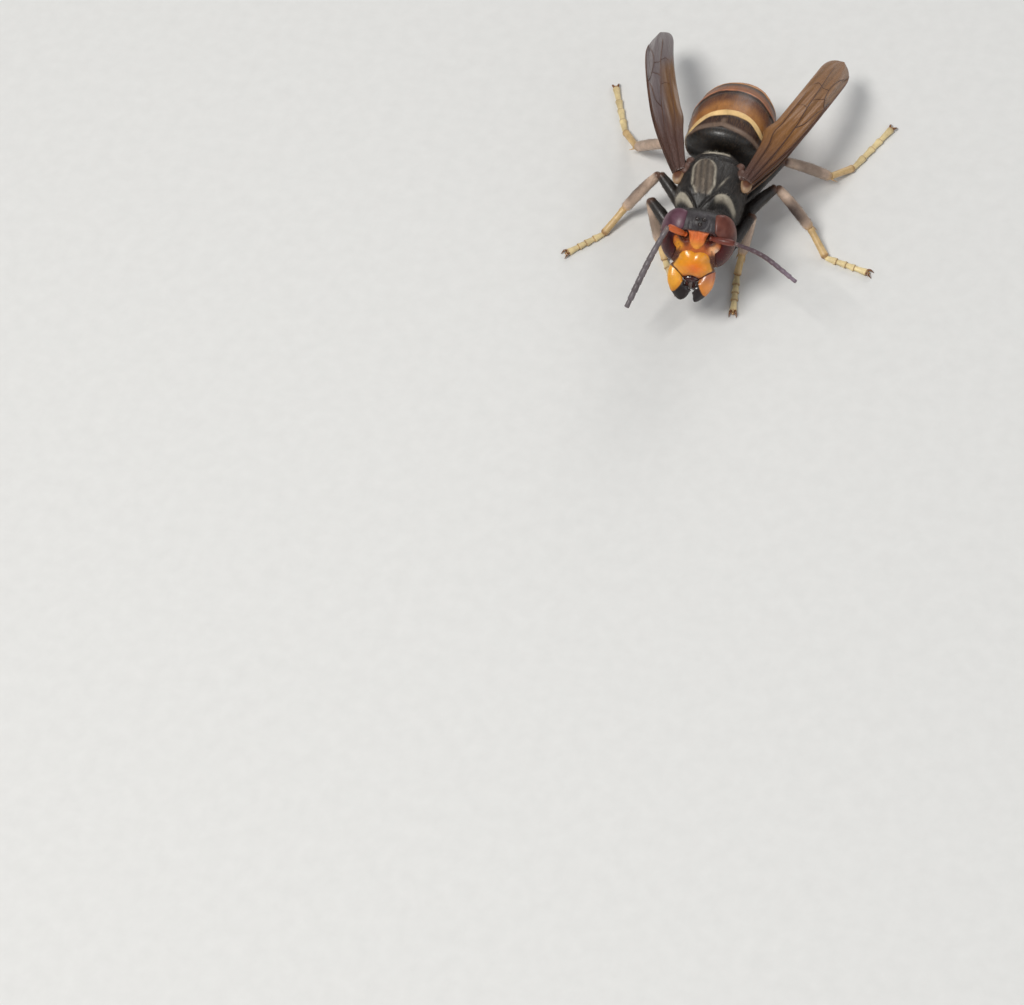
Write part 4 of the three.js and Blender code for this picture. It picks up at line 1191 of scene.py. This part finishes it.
def pleat(folded):
    """Chord and lift across the wing: one sheet, or a sheet folded back under itself."""
    if not folded:
        return np.linspace(1, -1, 34), np.zeros(34)
    bend = np.linspace(math.pi / 2, 3 * math.pi / 2, 9)[1:-1]
    upper, under = np.linspace(1, FOLD_EDGE, 40), np.linspace(FOLD_EDGE, FOLD_UNDER, 22)
    chord = np.concatenate([upper, FOLD_EDGE + 0.06 * np.cos(bend), under])
    lift = np.concatenate([np.ones(len(upper)), np.sin(bend), -np.ones(len(under))])
    return chord, FOLD_GAP * lift


def wing_ripple(way, chord):
    """Lift of the wing's shallow waves, which die out at root and tip."""
    waves = 0.045 * np.sin(9 * chord + 5 * way) + 0.03 * np.sin(17 * chord - 11 * way)
    return waves * np.clip(6 * way, 0, 1) * np.clip(7 * (1 - way), 0, 1)


def wing_sheet(size, name, folded):
    """Points and faces of a membrane, with the way and chord of each point."""
    chord, lift = pleat(folded)
    way = np.concatenate([np.linspace(0, 0.86, 90), np.linspace(0.86, 1.0, 34)[1:]])
    grid_way, grid_chord = np.meshgrid(way, chord, indexing="ij")
    grid_lift = lift[None, :] * np.clip(4 * (1 - grid_way), 0.2, 1) + wing_ripple(grid_way, grid_chord)
    points = wing_place(size, name, grid_way, grid_chord, grid_lift)
    rows, cols = len(way), len(chord)
    index = np.arange(rows * cols).reshape(rows, cols)
    faces = np.stack([index[:-1, :-1], index[1:, :-1], index[1:, 1:], index[:-1, 1:]], -1).reshape(-1, 4)
    return points.reshape(-1, 3), faces, grid_way.ravel(), grid_chord.ravel()


VEIN = ((0, 0.6), (0.05, 1.0), (0.8, 0.75), (1, 0.35))   # share of the length, of its radius
# Each vein is the way and chord of its bends, and its radius
FOREWING_VEINS = [
    ([(0, 0.9), (0.3, 0.95), (0.6, 0.96), (0.8, 0.97), (0.92, 0.98)], 0.075),
    ([(0, 0.6), (0.2, 0.78), (0.42, 0.84), (0.56, 0.86), (0.62, 0.94)], 0.07),
    ([(0, 0.25), (0.2, 0.24), (0.36, 0.16), (0.5, -0.05), (0.7, -0.2), (0.9, -0.3)], 0.05),
    ([(0, -0.3), (0.2, -0.5), (0.4, -0.66), (0.6, -0.72)], 0.045),
    ([(0.57, 0.86), (0.62, 0.5), (0.72, 0.34), (0.82, 0.5), (0.9, 0.93)], 0.04),
    ([(0.36, 0.16), (0.42, 0.48), (0.52, 0.64), (0.57, 0.86)], 0.04),
    ([(0.62, 0.5), (0.6, 0.2), (0.56, -0.1)], 0.035),
    ([(0.7, 0.36), (0.69, 0.1), (0.68, -0.18)], 0.035),
    ([(0.5, -0.05), (0.5, -0.4), (0.48, -0.68)], 0.035),
    ([(0.68, -0.18), (0.7, -0.45), (0.66, -0.72)], 0.035),
]
HINDWING_VEINS = [
    ([(0, 0.7), (0.25, 0.88), (0.5, 0.92), (0.62, 0.8), (0.85, 0.72)], 0.06),
    ([(0, 0.1), (0.3, 0.15), (0.55, -0.1), (0.8, -0.3)], 0.05),
    ([(0.3, 0.15), (0.42, 0.5), (0.5, 0.9)], 0.045),
    ([(0, -0.4), (0.3, -0.5), (0.5, -0.6)], 0.045),
]


def make_wing(kind, size, veins, name, folded, membrane, vein_shell):
    """A smoky membrane, folded lengthwise in the forewing, and its raised veins."""
    points, faces, way, chord = wing_sheet(size, name, folded)
    if name == "left":
        tint = blend(blend(SMOKE.plum, SMOKE.gold, step(way, 0.02, 0.34)), SMOKE.gold * 0.7,
                     step(chord, 0.4, 0.95))
    else:
        # The grey-purple of the right wing's outer part is a painted reflection on the smoky brown membrane.
        inner = step(-chord, -0.15, 0.5) * (1 - step(way, 0.58, 0.72)) * step(way, 0.15, 0.35)
        tint = blend(blend(SMOKE.plum, SMOKE.cool, step(way, 0.15, 0.5)), SMOKE.gold * 0.6, inner)
    if folded:
        tint = blend(tint, SMOKE.plum * 0.45, bump(way, 0.6, 0.035) * step(chord, 0.7, 0.85))
    sheet = make_piece(f"{kind}_membrane_{name}", points, faces, tint, membrane, "wing", f"{kind}_{name}",
                       way=way, chord=chord)
    solid = sheet.modifiers.new("thickness", "SOLIDIFY")
    solid.thickness, solid.offset = MEMBRANE_THICKNESS * MM, 0.0
    rods = []
    for line, radius in veins:
        path = smooth_line([(w, c, 0) for w, c in line], 50)
        lift = (0.09 if folded else 0.02) + wing_ripple(path[:, 0], path[:, 1])
        places = wing_place(size, name, path[:, 0], path[:, 1], lift)
        rods.append(tube(places, [(share, radius * part) for share, part in VEIN], rows=50, cols=8))
    points, faces, _ = join_shapes([r[:2] for r in rods])
    tint = blend(SMOKE.vein, SMOKE.vein_tip, np.concatenate([r[2] for r in rods]))
    make_shell(f"{kind}_veins_{name}", points, faces, tint, vein_shell, "wing")


# Legs

SOLE = 0.2
LEGS = {   # hip, end of the coxa, knee, ankle, heel and toe
    "fore_left": [(1.0, -2.1, 4.3), (1.55, -2.5, 2.9), (3.0, 0.26, 4.16), (2.45, -1.1, 1.2),
                  (2.32, -2.37, SOLE), (2.63, -5.59, SOLE)],
    "fore_right": [(-1.0, -2.1, 4.3), (-1.75, -2.4, 2.95), (-4.5, 0.1, 4.6), (-3.74, -0.88, 1.2),
                   (-3.1, -1.9, SOLE), (-1.75, -4.4, SOLE)],
    "mid_left": [(1.1, 0.5, 3.9), (1.75, 0.4, 2.75), (4.28, 2.82, 4.49), (6.9, 2.02, 1.3),
                 (8.38, 0.36, SOLE), (11.51, -0.45, SOLE)],
    "mid_right": [(-1.1, 0.5, 3.9), (-1.75, 0.4, 2.75), (-4.3, 2.6, 4.5), (-6.8, 1.5, 1.3),
                  (-8.1, -0.3, SOLE), (-10.3, -2.4, SOLE)],
    "hind_left": [(1.1, 2.0, 4.1), (1.7, 2.1, 2.9), (4.25, 5.6, 4.1), (7.5, 7.3, 0.95),
                  (9.0, 9.0, SOLE), (11.2, 13.2, SOLE)],
    "hind_right": [(-1.1, 2.0, 4.1), (-1.6, 2.2, 2.95), (-4.15, 5.7, 4.2), (-7.2, 7.7, 0.95),
                   (-8.5, 9.6, SOLE), (-10.1, 13.8, SOLE)],
}
# Outlines of the rods: share of the length, and radius
COXA = [(0, 0.5), (0.3, 0.66), (0.75, 0.55), (1, 0.42)]
THIGH = [(0, 0.36), (0.1, 0.4), (0.35, 0.5), (0.7, 0.44), (0.93, 0.33), (0.97, 0.34), (1, 0.2)]
SHIN = [(0, 0.18), (0.03, 0.31), (0.1, 0.34), (0.25, 0.38), (0.6, 0.41), (0.9, 0.38), (0.97, 0.34), (1, 0.2)]
SPUR = [(0, 0.07), (0.5, 0.05), (1, 0.01)]
HEEL = [(0, 0.2), (0.05, 0.28), (0.15, 0.25), (0.8, 0.27), (0.94, 0.3), (1, 0.16)]
TOE_RING = [(0, 0.12), (0.12, 0.2), (0.6, 0.24), (0.88, 0.29), (0.97, 0.25), (1, 0.12)]
CLAW = [(0, 0.11), (0.5, 0.09), (1, 0.015)]
TOE_EDGES, TOE_FLATNESS = (0, 0.27, 0.5, 0.7, 1.0), 0.78
CLAW_LINE = ((-0.15, 0.06, 0.24), (0.16, 0.22, 0.3), (0.44, 0.27, 0.06))   # ahead, aside, height
PAD_PLACE, PAD_RADIUS = (0.12, -0.04), (0.13, 0.13, 0.09)
LARGE_SHAPE = 700   # points that a rod has if it is large enough for bristles
LIMB = palette(black=(34, 26, 23), brown=(96, 58, 36), pale=(224, 196, 174), slate=(74, 56, 50),
               tan=(232, 190, 132), yellow=(250, 228, 172), heel=(226, 180, 116), joint=(166, 118, 70),
               claw=(134, 84, 38), pad=(200, 156, 96))


def arched(start, end, rise=0.0):
    return [start, (start + end) / 2 + np.array([0, 0, rise]), end]


def leg_piece(leg, part, node, shapes, tint_of, material, hair=None):
    """One part of a leg, with its short bristles where hair is given."""
    points, faces, _ = join_shapes([s[:2] for s in shapes])
    lie, unwrap, furry = [], [], []
    for k, (shape_points, _, share, angle) in enumerate(shapes):
        lie.append(np.tile(unit(shape_points[-1] - shape_points[0]), (len(share), 1)))
        strip = (k + 0.05 + 0.88 * share) / len(shapes)
        unwrap.append(np.stack([strip, 0.02 + 0.94 * angle / TAU, 0 * share], -1))
        furry.append((share > 0.05) & (share < 0.97) & (len(share) > LARGE_SHAPE))
    tint = np.concatenate([tint_of(k, s[2], s[3]) for k, s in enumerate(shapes)])
    name = f"leg_{leg}_{part}"
    piece = make_shell(name, points, faces, tint, material, node, f"leg_{leg}_{node}",
                       dust=blend(tint, ASH, 0.4), lie=np.concatenate(lie),
                       unwrap=np.concatenate(unwrap), furry=np.concatenate(furry) * 1.0)
    if hair:
        grow_coat(piece, name + "_coat", node, hair, Density=4.5e7, Length=0.00022, Thickness=0.000007,
                  Lift=0.55, Curl=0.2, Seed=11)


def make_thigh(leg, hip, coxa_end, knee, shell, hair):
    shapes = [tube(arched(hip, coxa_end), COXA, 30, 26), tube(arched(coxa_end, knee, 0.2), THIGH, 50, 24)]
    leg_piece(leg, "thigh", "femur", shapes,
              lambda k, s, a: blend(LIMB.black, LIMB.brown, step(s, 0.86, 1.0) * k), shell, hair)


def make_shin(leg, knee, ankle, shell, hair):
    """Pale shin with a dusky patch on top, darkest on the middle legs, and two spurs."""
    shapes = [tube(arched(knee, ankle, 0.12), SHIN, 50, 24)]
    along = unit(ankle - knee)
    for turn in (0.6, -0.6):
        aside = unit(np.cross(along, [0, 0, 1])) * turn
        base = ankle - along * 0.12 + aside * 0.3
        shapes.append(tube([base, base + along * 0.35 + aside * 0.2, base + along * 0.75 + aside * 0.3],
                           SPUR, 10, 8))
    depth = 1.0 if leg.startswith("mid") else 0.5

    def tint_of(k, s, a):
        if k:
            return np.tile(LIMB.tan, (len(s), 1))
        patch = np.exp(-((s - 0.55) / 0.27) ** 4) * (0.5 + 0.5 * np.cos(a)) ** 0.7 * depth
        tint = blend(blend(LIMB.pale, LIMB.slate, patch), LIMB.tan, step(s, 0.86, 1.0))
        return blend(tint, LIMB.brown, bump(s, 0.02, 0.05))

    leg_piece(leg, "shin", "tibia", shapes, tint_of, shell, hair)


def make_foot(leg, ankle, heel, toe, shell, claw_shell):
    """Long first joint, four flat rings, and two claws with a pad between them."""
    shapes = [tube(arched(ankle, heel), HEEL, 30, 20)]
    for low, high in zip(TOE_EDGES[:-1], TOE_EDGES[1:]):
        ends = heel + (toe - heel) * (low - 0.02), heel + (toe - heel) * (high + 0.01)
        shapes.append(tube(arched(*ends), TOE_RING, 20, 20, flatness=TOE_FLATNESS))
    leg_piece(leg, "foot", "tarsus", shapes, lambda k, s, a: blend(
        blend(LIMB.yellow, LIMB.heel, 0.0 if k else 0.6), LIMB.joint, bump(s, 0.95, 0.06) * 0.8), shell)
    forward = unit(toe - heel)
    aside = np.array([-forward[1], forward[0], 0])
    shapes = []
    for side in SIDES.values():
        line = [toe + forward * ahead + aside * out * side + np.array([0, 0, height - SOLE])
                for ahead, out, height in CLAW_LINE]
        shapes.append(tube(line, CLAW, 16, 10)[:2])
    shapes.append(ball(toe + forward * PAD_PLACE[0] + np.array([0, 0, PAD_PLACE[1]]), PAD_RADIUS, 8, 12))
    points, faces, counts = join_shapes(shapes)
    tint = np.repeat([LIMB.claw, LIMB.claw, LIMB.pad], counts, axis=0)
    make_shell(f"leg_{leg}_claws", points, faces, tint, claw_shell, "tarsus")


def make_leg(leg, shell, claw_shell, hair):
    hip, coxa_end, knee, ankle, heel, toe = (np.array(joint) for joint in LEGS[leg])
    make_thigh(leg, hip, coxa_end, knee, shell, hair)
    make_shin(leg, knee, ankle, shell, hair)
    make_foot(leg, ankle, heel, toe, shell, claw_shell)


# The whole insect

SHELL = tinted_shell("black shell with short hair", rough=0.48, nap=0.9, coat=0.04, bleach=0.16)
BAND_SHELL = tinted_shell("banded shell", rough=0.4, nap=0.5, coat=0.14, pit=0.05)
FACE_SHELL = tinted_shell("orange face shell", rough=0.28, nap=0.08, coat=0.55, pit=0.09, bleach=0.05)
LEG_SHELL = tinted_shell("leg shell", rough=0.4, nap=0.5, coat=0.15, pit=0.05)
GLOSS = tinted_shell("glossy dark shell", rough=0.18, nap=0.02, coat=0.8, pit=0.08, bleach=0.0)
VEIN_SHELL = tinted_shell("wing vein", rough=0.4, nap=0.1, coat=0.1, pit=0.05, bleach=0.05)
HAIR = coat_material("short hair")
GOLD_HAIR = coat_material("golden hair", gain=1.1)
LEG_HAIR = coat_material("leg bristles", gain=1.1)
EYE_GLASS = eye_material()
MEMBRANE = wing_material()

set_camera()
set_studio()
make_head(SHELL, HAIR, GLOSS)
make_clypeus(FACE_SHELL)
make_mouth(GLOSS)
for side_name in SIDES:
    make_eye(side_name, EYE_GLASS)
    make_mandible(side_name, FACE_SHELL)
    make_antenna(side_name, LEG_SHELL)
make_thorax(SHELL, HAIR)
make_gaster(BAND_SHELL, GOLD_HAIR)
for side_name in SIDES:
    make_wing("forewing", FOREWING, FOREWING_VEINS, side_name, True, MEMBRANE, VEIN_SHELL)
    make_wing("hindwing", HINDWING, HINDWING_VEINS, side_name, False, MEMBRANE, VEIN_SHELL)
for leg_name in LEGS:
    make_leg(leg_name, LEG_SHELL, GLOSS, LEG_HAIR)
